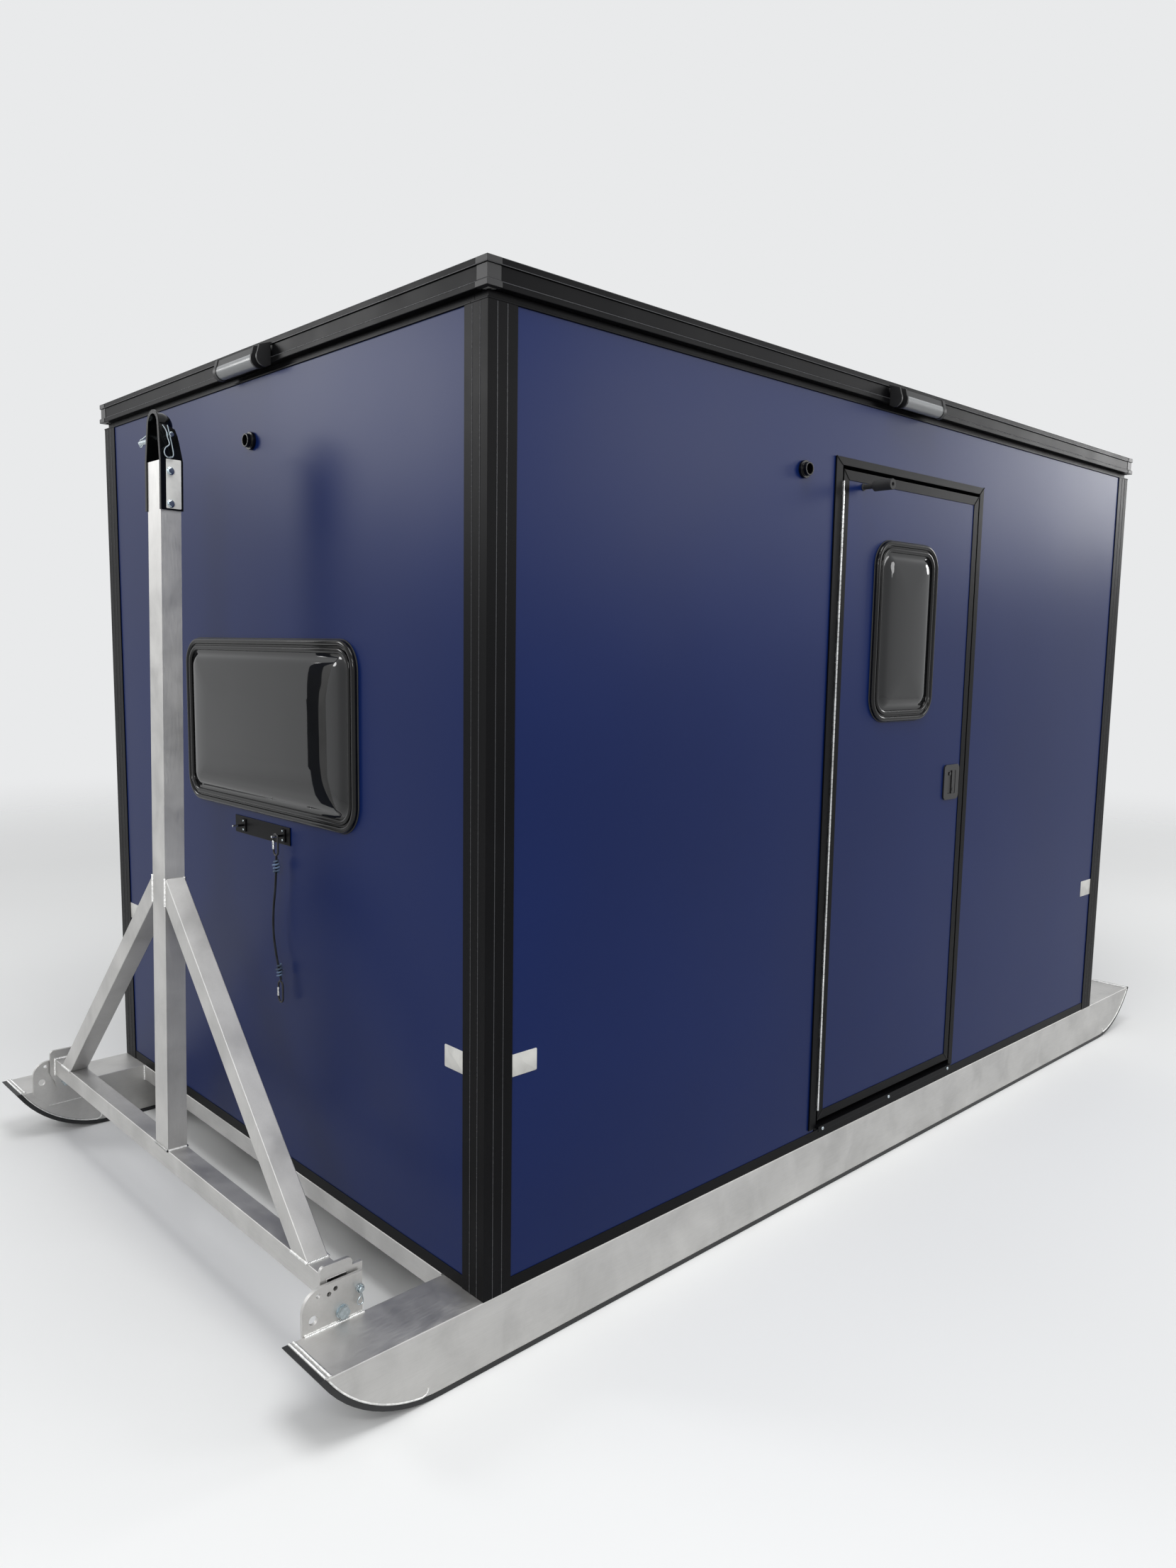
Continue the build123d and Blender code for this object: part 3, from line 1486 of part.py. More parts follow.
with BuildPart() as tether_cord:
    with BuildLine() as tether_path:
        FilletPolyline(*tether_route, radius=cord_radii(tether_route))
    with BuildSketch(Plane(origin=tether_path.line @ 0, z_dir=tether_path.line % 0)):
        Circle(tether_radius)
    sweep()
print("tether arc radii", [round(radius) for radius in cord_radii(tether_route)])
tether_length = tether_path.wires()[0].length
print("tether volume ratio", tether_cord.part.volume / (pi * tether_radius**2 * tether_length))
tether_cord.part.label = "tether_cord"
export_step(tether_cord.part, "parts/tether_cord.step")


def spring_clip(centre_from_corner, top_height):
    """An oval ring cut from rod stock, hanging in a plane parallel to the wall."""
    centre = wall_point(centre_from_corner, top_height - clip_height / 2)
    with BuildPart() as clip:
        with BuildSketch(Plane(origin=centre, x_dir=(0, -1, 0), z_dir=(-1, 0, 0))):
            SlotOverall(clip_height, clip_width, rotation=90)
            SlotOverall(clip_height - 2 * clip_rod, clip_width - 2 * clip_rod, rotation=90, mode=Mode.SUBTRACT)
        extrude(amount=clip_rod / 2, both=True)
    return clip.part


with BuildPart() as tether_clips:
    add(spring_clip(hook_along, clip_head))
    add(spring_clip(hook_along + lower_clip_along, cord_head - lower_clip_drop))
tether_clips.part.label = "tether_clips"
export_step(tether_clips.part, "parts/tether_clips.step")
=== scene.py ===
"""Insulated ice fishing hut on skis: finishes, welds, screws, windows, tether, camera and light."""

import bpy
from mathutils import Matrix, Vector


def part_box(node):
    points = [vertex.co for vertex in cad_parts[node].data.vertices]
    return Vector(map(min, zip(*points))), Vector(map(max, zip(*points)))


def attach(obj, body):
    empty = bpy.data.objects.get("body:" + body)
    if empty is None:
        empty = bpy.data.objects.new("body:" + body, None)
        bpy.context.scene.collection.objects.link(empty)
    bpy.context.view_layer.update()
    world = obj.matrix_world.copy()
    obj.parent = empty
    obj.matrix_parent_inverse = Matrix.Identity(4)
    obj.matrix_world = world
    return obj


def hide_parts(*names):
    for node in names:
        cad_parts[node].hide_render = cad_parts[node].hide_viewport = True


bl_info = {
    "name": "Ice fishing hut",
    "version": (1, 0, 0),
    "blender": (4, 5, 0),
    "location": "3D View > Sidebar > Hut",
    "description": "Dresses the packed hut with its finishes and small fittings",
    "category": "Object",
}

from math import cos, pi, radians, sin

import bmesh
import bpy
from bpy.props import FloatProperty, FloatVectorProperty, IntProperty, PointerProperty
from mathutils import Matrix, Vector

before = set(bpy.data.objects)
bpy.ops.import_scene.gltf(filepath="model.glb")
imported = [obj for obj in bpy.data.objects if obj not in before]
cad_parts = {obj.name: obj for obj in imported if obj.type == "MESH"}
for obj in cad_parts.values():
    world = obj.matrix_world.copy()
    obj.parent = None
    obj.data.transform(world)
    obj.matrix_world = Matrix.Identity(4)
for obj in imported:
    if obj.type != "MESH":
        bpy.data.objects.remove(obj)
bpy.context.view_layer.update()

MM = 0.001

# Planes of the hut, read from the corner posts and the door's trim
POST_LOW, POST_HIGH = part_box("corner_posts")
END_X = POST_HIGH.x
NEAR_Y = POST_LOW.y
FAR_Y = POST_HIGH.y
MID_Y = (NEAR_Y + FAR_Y) / 2
DECK_Z = POST_LOW.z
SKIN_SETBACK = 3 * MM
DOOR_FACE_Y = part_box("door_edge_trim")[0].y
SKI_WIDTH = 148 * MM


def linear(code):
    """A colour written as sRGB hex, as the linear values that Blender works in."""
    channels = [int(code[i : i + 2], 16) / 255 for i in (1, 3, 5)]
    return tuple(c / 12.92 if c <= 0.04045 else ((c + 0.055) / 1.055) ** 2.4 for c in channels)


def colour_setting(name, description, code):
    """A colour that the user may change, with its default written as sRGB hex."""
    return FloatVectorProperty(
        name=name,
        description=description,
        subtype="COLOR",
        size=3,
        min=0,
        max=1,
        default=linear(code),
    )


def length_setting(name, description, millimetres):
    """A length that the user may change, with its default written in millimetres."""
    return FloatProperty(
        name=name, description=description, unit="LENGTH", default=millimetres * MM, min=0
    )


class HutColours(bpy.types.PropertyGroup):
    """Colours of the hut's finishes"""

    panel: colour_setting("Panel", "Paint on the wall skins and the door", "#091f55")
    trim: colour_setting("Trim", "Powder coat on the extrusions", "#09090b")
    moulding: colour_setting("Moulding", "Moulded caps, ports and light housings", "#0b0b0d")
    window_frame: colour_setting("Window frame", "Glossy frames of the windows", "#070708")
    glazing: colour_setting("Glazing", "Smoke tint of the windows", "#17181a")
    metal: colour_setting("Metal", "Mill aluminium of the skis and the hitch", "#c4c3c1")
    weld: colour_setting("Weld", "Fresh weld beads", "#e4e4e2")
    zinc: colour_setting("Zinc", "Plated bolts and pins", "#b9c4c9")
    steel: colour_setting("Steel", "Stainless piano hinge", "#d2d3d3")
    coupler: colour_setting("Coupler", "Gloss paint on the coupler", "#08090a")
    runner: colour_setting("Runner", "Plastic under the skis", "#131416")
    roof: colour_setting("Roof", "Roof sheet", "#cfd1d2")
    board: colour_setting("Floor board", "Floor inside the hut", "#83807a")
    lens: colour_setting("Lens", "Milky lens of the porch lights", "#a3a6a8")
    rubber: colour_setting("Rubber", "Door stop and seals", "#161616")
    # The ribs' paler colour is a painted highlight along the extrusions' ridges
    rib: colour_setting("Rib", "Rubbed edges of the extrusions", "#434447")
    cord: colour_setting("Cord", "Braided tether", "#0d1016")
    knot: colour_setting("Knot", "Wraps of the tether's knots", "#4a5a70")
    label: colour_setting("Label", "Blank vinyl labels", "#dcdcd8")
    # The joint line colour is painted shadow in the gaps of the mitred corners
    seam: colour_setting("Joint line", "Shadow in the mitred corners", "#010101")


class HutSizes(bpy.types.PropertyGroup):
    """Sizes of the pieces that are added to the frame"""

    weld_radius: length_setting("Weld radius", "Radius of a weld bead", 3.6)
    weld_pitch: length_setting("Weld pitch", "Distance between the ripples of a bead", 3.6)
    screw_radius: length_setting("Screw radius", "Radius of a screw's head", 5.0)
    seal_radius: length_setting("Seal radius", "Radius of the seals round the windows", 2.2)
    pane_bulge: length_setting("Pane bulge", "How far a window's middle stands out", 16.0)
    edge_radius: length_setting("Edge radius", "Rounding of the tubes' edges", 3.0)
    rib_radius: length_setting("Rib radius", "Radius of the fine ribs along the extrusions", 0.9)
    knuckle_pitch: length_setting("Knuckle pitch", "Length of one knuckle of the piano hinge", 12.5)
    pane_points: IntProperty(
        name="Pane points", description="Points on each corner of a pane", default=10, min=2
    )


def add_node(tree, kind, inputs=None, stops=None, **settings):
    """Adds one node. Its inputs are values, sockets, or nodes whose first output is linked."""
    node = tree.nodes.new(kind)
    for field, value in settings.items():
        setattr(node, field, value)
    for key, value in (inputs or {}).items():
        if isinstance(value, bpy.types.Node):
            value = value.outputs[0]
        if isinstance(value, bpy.types.NodeSocket):
            tree.links.new(value, node.inputs[key])
        else:
            node.inputs[key].default_value = value
    if stops:
        ramp = node.color_ramp.elements
        while len(ramp) < len(stops):
            ramp.new(0.5)
        for element, (position, colour) in zip(ramp, stops):
            element.position = position
            element.color = colour
    return node


# A wave texture repeats about this many times in a unit of its scale
WAVES_PER_UNIT = 20


def per_mm(size):
    """Texture scale at which a pattern repeats about once in a size in millimetres."""
    return 1000.0 / size


def opaque(colour, gain=1.0):
    """A colour with an alpha of one, made lighter or darker by a gain."""
    return (*[min(channel * gain, 1.0) for channel in colour], 1.0)


def new_finish(name):
    """An empty material, with the coordinates of the piece it is put on, in metres."""
    material = bpy.data.materials.new(name)
    material.use_nodes = True
    material.node_tree.nodes.clear()
    place = add_node(material.node_tree, "ShaderNodeTexCoord").outputs["Object"]
    return material, material.node_tree, place


def close_finish(tree, inputs):
    """The shader and the output of a material."""
    shader = add_node(tree, "ShaderNodeBsdfPrincipled", inputs)
    add_node(tree, "ShaderNodeOutputMaterial", {"Surface": shader})


def surface(name, colour, rough, noises=None, waves=None, shades=None, bumps=(), more=None):
    """A material from patterns whose sizes and heights are in millimetres.

    The roughness is a number, or a pattern with its lowest and highest. The shades are a pattern
    with its stops and the colour's gains there. Each bump is a pattern, a strength and a height,
    laid over the bump before it.
    """
    material, tree, place = new_finish(name)
    drawn = {}
    for key, (size, detail) in (noises or {}).items():
        inputs = {"Vector": place, "Scale": per_mm(size), "Detail": detail}
        drawn[key] = add_node(tree, "ShaderNodeTexNoise", inputs).outputs["Fac"]
    for key, (size, details) in (waves or {}).items():
        inputs = {"Vector": place, "Scale": per_mm(size) / WAVES_PER_UNIT, **details}
        wave = add_node(tree, "ShaderNodeTexWave", inputs, bands_direction="DIAGONAL")
        drawn[key] = wave.outputs["Fac"]
    shader = {"Base Color": opaque(colour), "Roughness": rough, **(more or {})}
    if shades:
        key, *gains = shades
        stops = [(stop, opaque(colour, gain)) for stop, gain in gains]
        ramp = add_node(tree, "ShaderNodeValToRGB", {"Fac": drawn[key]}, stops=stops)
        shader["Base Color"] = ramp
    if isinstance(rough, tuple):
        key, low, high = rough
        inputs = {"Value": drawn[key], "To Min": low, "To Max": high}
        shader["Roughness"] = add_node(tree, "ShaderNodeMapRange", inputs)
    for key, strength, height in bumps:
        inputs = {"Height": drawn[key], "Strength": strength, "Distance": height * MM}
        if "Normal" in shader:
            inputs["Normal"] = shader["Normal"]
        shader["Normal"] = add_node(tree, "ShaderNodeBump", inputs)
    close_finish(tree, shader)
    return material


def coated_sheet(name, colour):
    """Coil coated aluminium skin, rolled on and baked."""
    # A satin sheen with a very fine peel, and slow waves where the foam core pulls the skin.
    return surface(
        name,
        colour,
        ("haze", 0.3, 0.4),
        {"waves": (420, 1.0), "peel": (3.5, 4.0), "haze": (900, 6.0)},
        shades=("haze", (0.35, 0.94), (0.68, 1.07)),
        bumps=(("waves", 0.35, 6), ("peel", 0.12, 0.3)),
        more={"Specular IOR Level": 0.15},
    )


def powder_coat(name, colour, roughness, dusting=1.5):
    """Powder coated extrusion or sheet."""
    # Satin paint with the fine grit of the baked powder, and a little dust along the lengths.
    return surface(
        name,
        colour,
        ("dust", roughness - 0.06, roughness + 0.1),
        {"grit": (1.4, 3.0), "dust": (140, 7.0)},
        shades=("dust", (0.5, 1.0), (0.85, dusting)),
        bumps=(("grit", 0.25, 0.15),),
        more={"Specular IOR Level": 0.07},
    )


def mill_aluminium(name, colour, grain):
    """Mill finished aluminium, with die lines along its length and smudges from handling."""
    # Soft streaked reflections under a thin dull oxide, a patchy bloom, and darker finger marks.
    material, tree, place = new_finish(name)
    drawn = add_node(tree, "ShaderNodeMapping", {"Vector": place, "Scale": grain})
    drawing = {"Vector": drawn, "Scale": per_mm(2.5), "Detail": 4.0}
    lines = add_node(tree, "ShaderNodeTexNoise", drawing)
    smears = {"Scale": per_mm(120), "Detail": 6.0, "Roughness": 0.55, "Distortion": 0.5}
    smudge = add_node(tree, "ShaderNodeTexNoise", {"Vector": place, **smears})
    gains = ((0.32, 0.84), (0.5, 0.97), (0.7, 1.08))
    stops = [(stop, opaque(colour, gain)) for stop, gain in gains]
    tint = add_node(tree, "ShaderNodeValToRGB", {"Fac": smudge}, stops=stops)
    mixed = add_node(tree, "ShaderNodeMath", {0: lines, 1: smudge}, operation="ADD")
    span = {"Value": mixed, "From Min": 0.7, "From Max": 1.3, "To Min": 0.38, "To Max": 0.6}
    rough = add_node(tree, "ShaderNodeMapRange", span)
    relief = {"Height": lines, "Strength": 0.15, "Distance": 0.2 * MM}
    bump = add_node(tree, "ShaderNodeBump", relief)
    close_finish(tree, {"Base Color": tint, "Metallic": 0.84, "Roughness": rough, "Normal": bump})
    return material


def bright_metal(name, colour, roughness, blotch):
    """Plated or stainless steel, or a fresh aluminium weld."""
    # Small and bright, and a little cloudy, as thin plating and a fresh bead are.
    return surface(
        name,
        colour,
        ("cloud", roughness - 0.08, roughness + 0.12),
        {"cloud": (blotch, 5.0)},
        shades=("cloud", (0.35, 0.8), (0.65, 1.1)),
        more={"Metallic": 1.0},
    )


def gloss_plastic(name, colour, roughness):
    """Gloss moulded or painted surface."""
    # Deep black with sharp reflections, softened by a slight peel.
    return surface(
        name,
        colour,
        ("peel", roughness, roughness + 0.06),
        {"peel": (9, 2.0)},
        bumps=(("peel", 0.12, 0.3),),
        more={"Specular IOR Level": 0.3},
    )


def grained_plastic(name, colour, roughness, grain):
    """Moulded plastic or rubber with a grained skin."""
    # Matte black that scatters the light, with scuffs that show a little paler.
    return surface(
        name,
        colour,
        roughness,
        {"skin": (grain, 3.0), "scuff": (60, 8.0)},
        shades=("scuff", (0.5, 1.0), (0.78, 2.2)),
        bumps=(("skin", 0.3, 0.2),),
    )


def smoked_acrylic(name, colour):
    """Cast acrylic, tinted smoke grey and thermoformed."""
    # Nearly black from outside, with clean reflections that bend over the bulge.
    return surface(
        name,
        colour,
        0.03,
        {"ripple": (160, 1.0)},
        bumps=(("ripple", 0.3, 1.2),),
        more={"IOR": 1.49, "Transmission Weight": 0.25},
    )


def milky_lens(name, colour):
    """Diffusing polycarbonate lens, moulded with fine ribs on its inside."""
    # A pale translucent bar that picks up light all along its bulge.
    return surface(
        name,
        colour,
        0.22,
        waves={"ribs": (6, {"Distortion": 0.0})},
        bumps=(("ribs", 0.2, 0.4),),
        more={
            "IOR": 1.58,
            "Transmission Weight": 0.35,
            "Subsurface Weight": 0.3,
            "Subsurface Radius": (0.01, 0.01, 0.01),
        },
    )


def braided_cord(name, colour):
    """Braided polyester cord."""
    # Small diagonal plaits, painted lighter on their crowns as a painted highlight and darker
    # between them as painted shade.
    return surface(
        name,
        colour,
        0.72,
        waves={"plait": (4, {"Distortion": 1.5, "Detail": 1.0})},
        # The plait pattern paints highlight on the crowns and shade in the hollows
        shades=("plait", (0.2, 0.6), (0.85, 1.8)),
        bumps=(("plait", 0.6, 0.6),),
        more={"Specular IOR Level": 0.3, "Sheen Weight": 0.08},
    )


def vinyl_label(name, colour):
    """Blank printed vinyl label."""
    # Off white film, slightly soiled, with a low gloss.
    shades = ("soil", (0.3, 0.86), (0.6, 1.0))
    return surface(name, colour, 0.35, {"soil": (25, 6.0)}, shades=shades)


# Each finish: what makes it, the material's name, its colour, and what else that maker takes
FINISHES = {
    "panel": (coated_sheet, "satin_coil_coated_aluminium", "panel"),
    "trim": (powder_coat, "satin_black_powder_coat", "trim", 0.36),
    "moulding": (grained_plastic, "black_moulded_abs", "moulding", 0.45, 1.2),
    "window_frame": (gloss_plastic, "gloss_black_abs_frame", "window_frame", 0.12),
    "glazing": (smoked_acrylic, "smoked_thermoformed_acrylic", "glazing"),
    "ski": (mill_aluminium, "mill_aluminium_sheet", "metal", (0.06, 1.0, 1.0)),
    "upright": (mill_aluminium, "mill_aluminium_upright_tube", "metal", (1.0, 1.0, 0.06)),
    "cross": (mill_aluminium, "mill_aluminium_cross_tube", "metal", (1.0, 0.06, 1.0)),
    "plate": (mill_aluminium, "mill_aluminium_plate", "metal", (0.4, 1.0, 0.4)),
    "weld": (bright_metal, "aluminium_weld_bead", "weld", 0.34, 7),
    "zinc": (bright_metal, "zinc_plated_steel", "zinc", 0.2, 6),
    "hinge": (bright_metal, "bright_stainless_steel", "steel", 0.24, 40),
    "coupler": (gloss_plastic, "gloss_black_enamel", "coupler", 0.1),
    "port": (gloss_plastic, "gloss_black_nylon_port", "window_frame", 0.2),
    # Near black lines that paint the shadow in the mitred corners
    "seam": (grained_plastic, "black_joint_line", "seam", 0.9, 1.0),
    "runner": (grained_plastic, "black_polyethylene_runner", "runner", 0.5, 3.0),
    # Ribs painted paler than the trim, as a painted highlight on the ridges
    "rib": (gloss_plastic, "rubbed_powder_coat_edge", "rib", 0.24),
    "roof": (powder_coat, "painted_roof_sheet", "roof", 0.6, 0.94),
    "board": (grained_plastic, "coin_floor_board", "board", 0.6, 4.0),
    "lens": (milky_lens, "milky_ribbed_polycarbonate", "lens"),
    "rubber": (grained_plastic, "black_rubber", "rubber", 0.68, 0.9),
    "cord": (braided_cord, "black_braided_polyester", "cord"),
    "knot": (braided_cord, "blue_grey_braided_polyester", "knot"),
    "label": (vinyl_label, "blank_vinyl_film", "label"),
}

# The finishes made so far, each shared by every piece that has it
finishes = {}


def finish(kind):
    """The shared material of one finish, made at its first use from the scene's colours."""
    if kind not in finishes:
        maker, name, colour, *settings = FINISHES[kind]
        finishes[kind] = maker(name, getattr(bpy.context.scene.hut_colours, colour), *settings)
    return finishes[kind]


def put_finish(node, kind):
    """Gives a node of the frame its finish."""
    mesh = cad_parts[node].data
    mesh.materials.clear()
    mesh.materials.append(finish(kind))


def keep_piece(piece, body, slot=None, stands_for=()):
    """Makes a finished piece ride with its body, and stand for the nodes that it covers."""
    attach(piece, body)
    if stands_for:
        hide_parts(*stands_for)
    return piece


def place_object(name, data):
    """An object in the scene for a mesh, a curve, a lamp or a camera."""
    piece = bpy.data.objects.new(name, data)
    bpy.context.scene.collection.objects.link(piece)
    return piece


def piece_from(shell, name, kind, smooth_angle=35.0):
    """A mesh object made from a bmesh, with smooth faces and sharp corners."""
    bmesh.ops.recalc_face_normals(shell, faces=shell.faces)
    mesh = bpy.data.meshes.new(name)
    shell.to_mesh(mesh)
    shell.free()
    mesh.shade_smooth()
    mesh.set_sharp_from_angle(angle=radians(smooth_angle))
    mesh.materials.append(finish(kind))
    return place_object(name, mesh)


def settle(piece):
    """Turns what a piece's modifiers make into its plain mesh."""
    graph = bpy.context.evaluated_depsgraph_get()
    mesh = bpy.data.meshes.new_from_object(
        piece.evaluated_get(graph), preserve_all_data_layers=True, depsgraph=graph
    )
    piece.modifiers.clear()
    piece.data = mesh
    return piece


# Points nearer than this are one, faces turned less are flat, and edges turned more are rounded
MERGE_DISTANCE = 0.01 * MM
FLAT_ANGLE = radians(0.5)
EDGE_ANGLE = radians(32)


def softened(node, kind, radius, body, slot, segments=2):
    """A copy of a rigid node with its sharp edges rounded, which stands for it."""
    shell = bmesh.new()
    shell.from_mesh(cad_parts[node].data)
    bmesh.ops.remove_doubles(shell, verts=shell.verts, dist=MERGE_DISTANCE)
    bmesh.ops.dissolve_limit(shell, angle_limit=FLAT_ANGLE, verts=shell.verts, edges=shell.edges)
    mesh = bpy.data.meshes.new(node + "_dressed")
    shell.to_mesh(mesh)
    shell.free()
    packed_normals = mesh.attributes.get("custom_normal")
    if packed_normals:
        mesh.attributes.remove(packed_normals)
    mesh.shade_smooth()
    mesh.materials.append(finish(kind))
    piece = place_object(node + "_dressed", mesh)
    bevel = piece.modifiers.new("rounding", "BEVEL")
    bevel.width = radius
    bevel.segments = segments
    bevel.limit_method = "ANGLE"
    bevel.angle_limit = EDGE_ANGLE
    bevel.harden_normals = True
    bevel.use_clamp_overlap = True
    settle(piece)
    return keep_piece(piece, body, slot, (node,))


def loft(shell, loops, joined=False):
    """Quads through loops of equally many points, with both ends capped unless they join up."""
    rows = [[shell.verts.new(point) for point in loop] for loop in loops]
    nexts = rows[1:] + rows[:1] if joined else rows[1:]
    for row, following in zip(rows, nexts):
        for i in range(len(row)):
            j = (i + 1) % len(row)
            shell.faces.new((row[i], row[j], following[j], following[i]))
    if not joined:
        shell.faces.new(list(reversed(rows[0])))
        shell.faces.new(rows[-1])


def tube(shell, path, radius, sides=10, joined=False):
    """A round rod along a path, whose section turns with the path as little as it can."""
    count = len(path)
    turn = [2 * pi * k / sides for k in range(sides)]
    loops = []
    side = None
    for i, point in enumerate(path):
        before = path[(i - 1) % count] if joined or i else point
        after = path[(i + 1) % count] if joined or i < count - 1 else point
        along = (after - before).normalized()
        if side is None:
            helper = Vector((1, 0, 0)) if abs(along.x) < 0.9 else Vector((0, 1, 0))
            side = along.cross(helper).normalized()
        side = (side - along * side.dot(along)).normalized()
        up = along.cross(side)
        loops.append([point + side * radius * cos(a) + up * radius * sin(a) for a in turn])
    loft(shell, loops, joined)


def turned(shell, centre, axis, profile, sides=24):
    """A round or six sided solid about an axis, from pairs of distance along it and radius."""
    axis = Vector(axis).normalized()
    helper = Vector((0, 0, 1)) if abs(axis.z) < 0.9 else Vector((1, 0, 0))
    side = axis.cross(helper).normalized()
    up = axis.cross(side)
    turn = [2 * pi * (k + 0.5) / sides for k in range(sides)]
    loft(
        shell,
        [
            [centre + (axis * along + (side * cos(a) + up * sin(a)) * radius) * MM for a in turn]
            for along, radius in profile
        ],
    )


def bent(points, steps=5):
    """A path that keeps its two ends and rounds every bend between them, as wire does."""
    path = [points[0]]
    for before, corner, after in zip(points, points[1:], points[2:]):
        start, end = (before + corner) / 2, (corner + after) / 2
        for k in range(steps):
            t = k / steps
            path.append(start * (1 - t) ** 2 + corner * 2 * t * (1 - t) + end * t * t)
    return [*path, end, points[-1]]


def rounded_loop(half_width, half_height, corner, points):
    """Points round a rectangle with round corners, as pairs from its centre."""
    corner = max(min(corner, half_width, half_height), 0.1 * MM)
    loop = []
    for quarter, (sx, sy) in enumerate(((1, 1), (-1, 1), (-1, -1), (1, -1))):
        for step in range(points + 1):
            angle = pi / 2 * (quarter + step / points)
            x = sx * (half_width - corner) + corner * cos(angle)
            y = sy * (half_height - corner) + corner * sin(angle)
            loop.append((x, y))
    return loop


class WallPlace:
    """A place on a wall: across is to the right from outside, up is up and out is outward."""

    def __init__(self, centre, out):
        self.centre = Vector(centre)
        self.out = Vector(out)
        self.up = Vector((0, 0, 1))
        self.across = self.up.cross(self.out)

    def at(self, across, up, out):
        """A point in the frame."""
        return self.centre + self.across * across + self.up * up + self.out * out


def end_wall_place(side, from_near_corner, height, out=-SKIN_SETBACK):
    """A place on an end wall's skin."""
    centre = (side * (END_X + out), NEAR_Y + from_near_corner * MM, DECK_Z + height * MM)
    return WallPlace(centre, (side, 0, 0))


def door_wall_place(from_hitch_end, height, out=-SKIN_SETBACK):
    """A place on the door wall's skin."""
    centre = (-END_X + from_hitch_end * MM, NEAR_Y - out, DECK_Z + height * MM)
    return WallPlace(centre, (0, -1, 0))


# Tether: the route of the cord, from the foot of the upper clip to the head of the lower one
TETHER_X = -END_X - 22 * MM
HOOKS_ALONG = (840, 1057)
HOOK_ALONG = HOOKS_ALONG[0] * MM
HOOK_Z = DECK_Z + 897 * MM
HOOK_ROD_RADIUS = 3 * MM
SEAT_GAP = 0.3 * MM
CLIP_ROD = 5 * MM
CLIP_WIDTH = 28 * MM
CLIP_HEIGHT = 60 * MM
CORD_RADIUS = 3 * MM
CLIP_HEAD_Z = HOOK_Z + HOOK_ROD_RADIUS + SEAT_GAP + CLIP_ROD
CORD_HEAD_Z = CLIP_HEAD_Z - CLIP_HEIGHT - SEAT_GAP
TETHER_DROPS = ((-2, 0), (2, 70), (23, 155), (18, 243), (-16, 323))
LOWER_CLIP = (-13.0, 324.5)


def tether_point(along, drop):
    """A point in the plane that the tether hangs in, from the upper hook and the cord's head."""
    return Vector((TETHER_X, NEAR_Y + HOOK_ALONG + along * MM, CORD_HEAD_Z - drop * MM))


def oval_path(centre, width, height, steps=14):
    """Centreline of an oval ring in the plane along the wall."""
    bend = width / 2
    straight = height / 2 - bend
    path = []
    for start, rise in ((0, straight), (pi, -straight)):
        for k in range(steps + 1):
            angle = start + pi * k / steps
            path.append(centre + Vector((0, bend * cos(angle), rise + bend * sin(angle))))
    return path


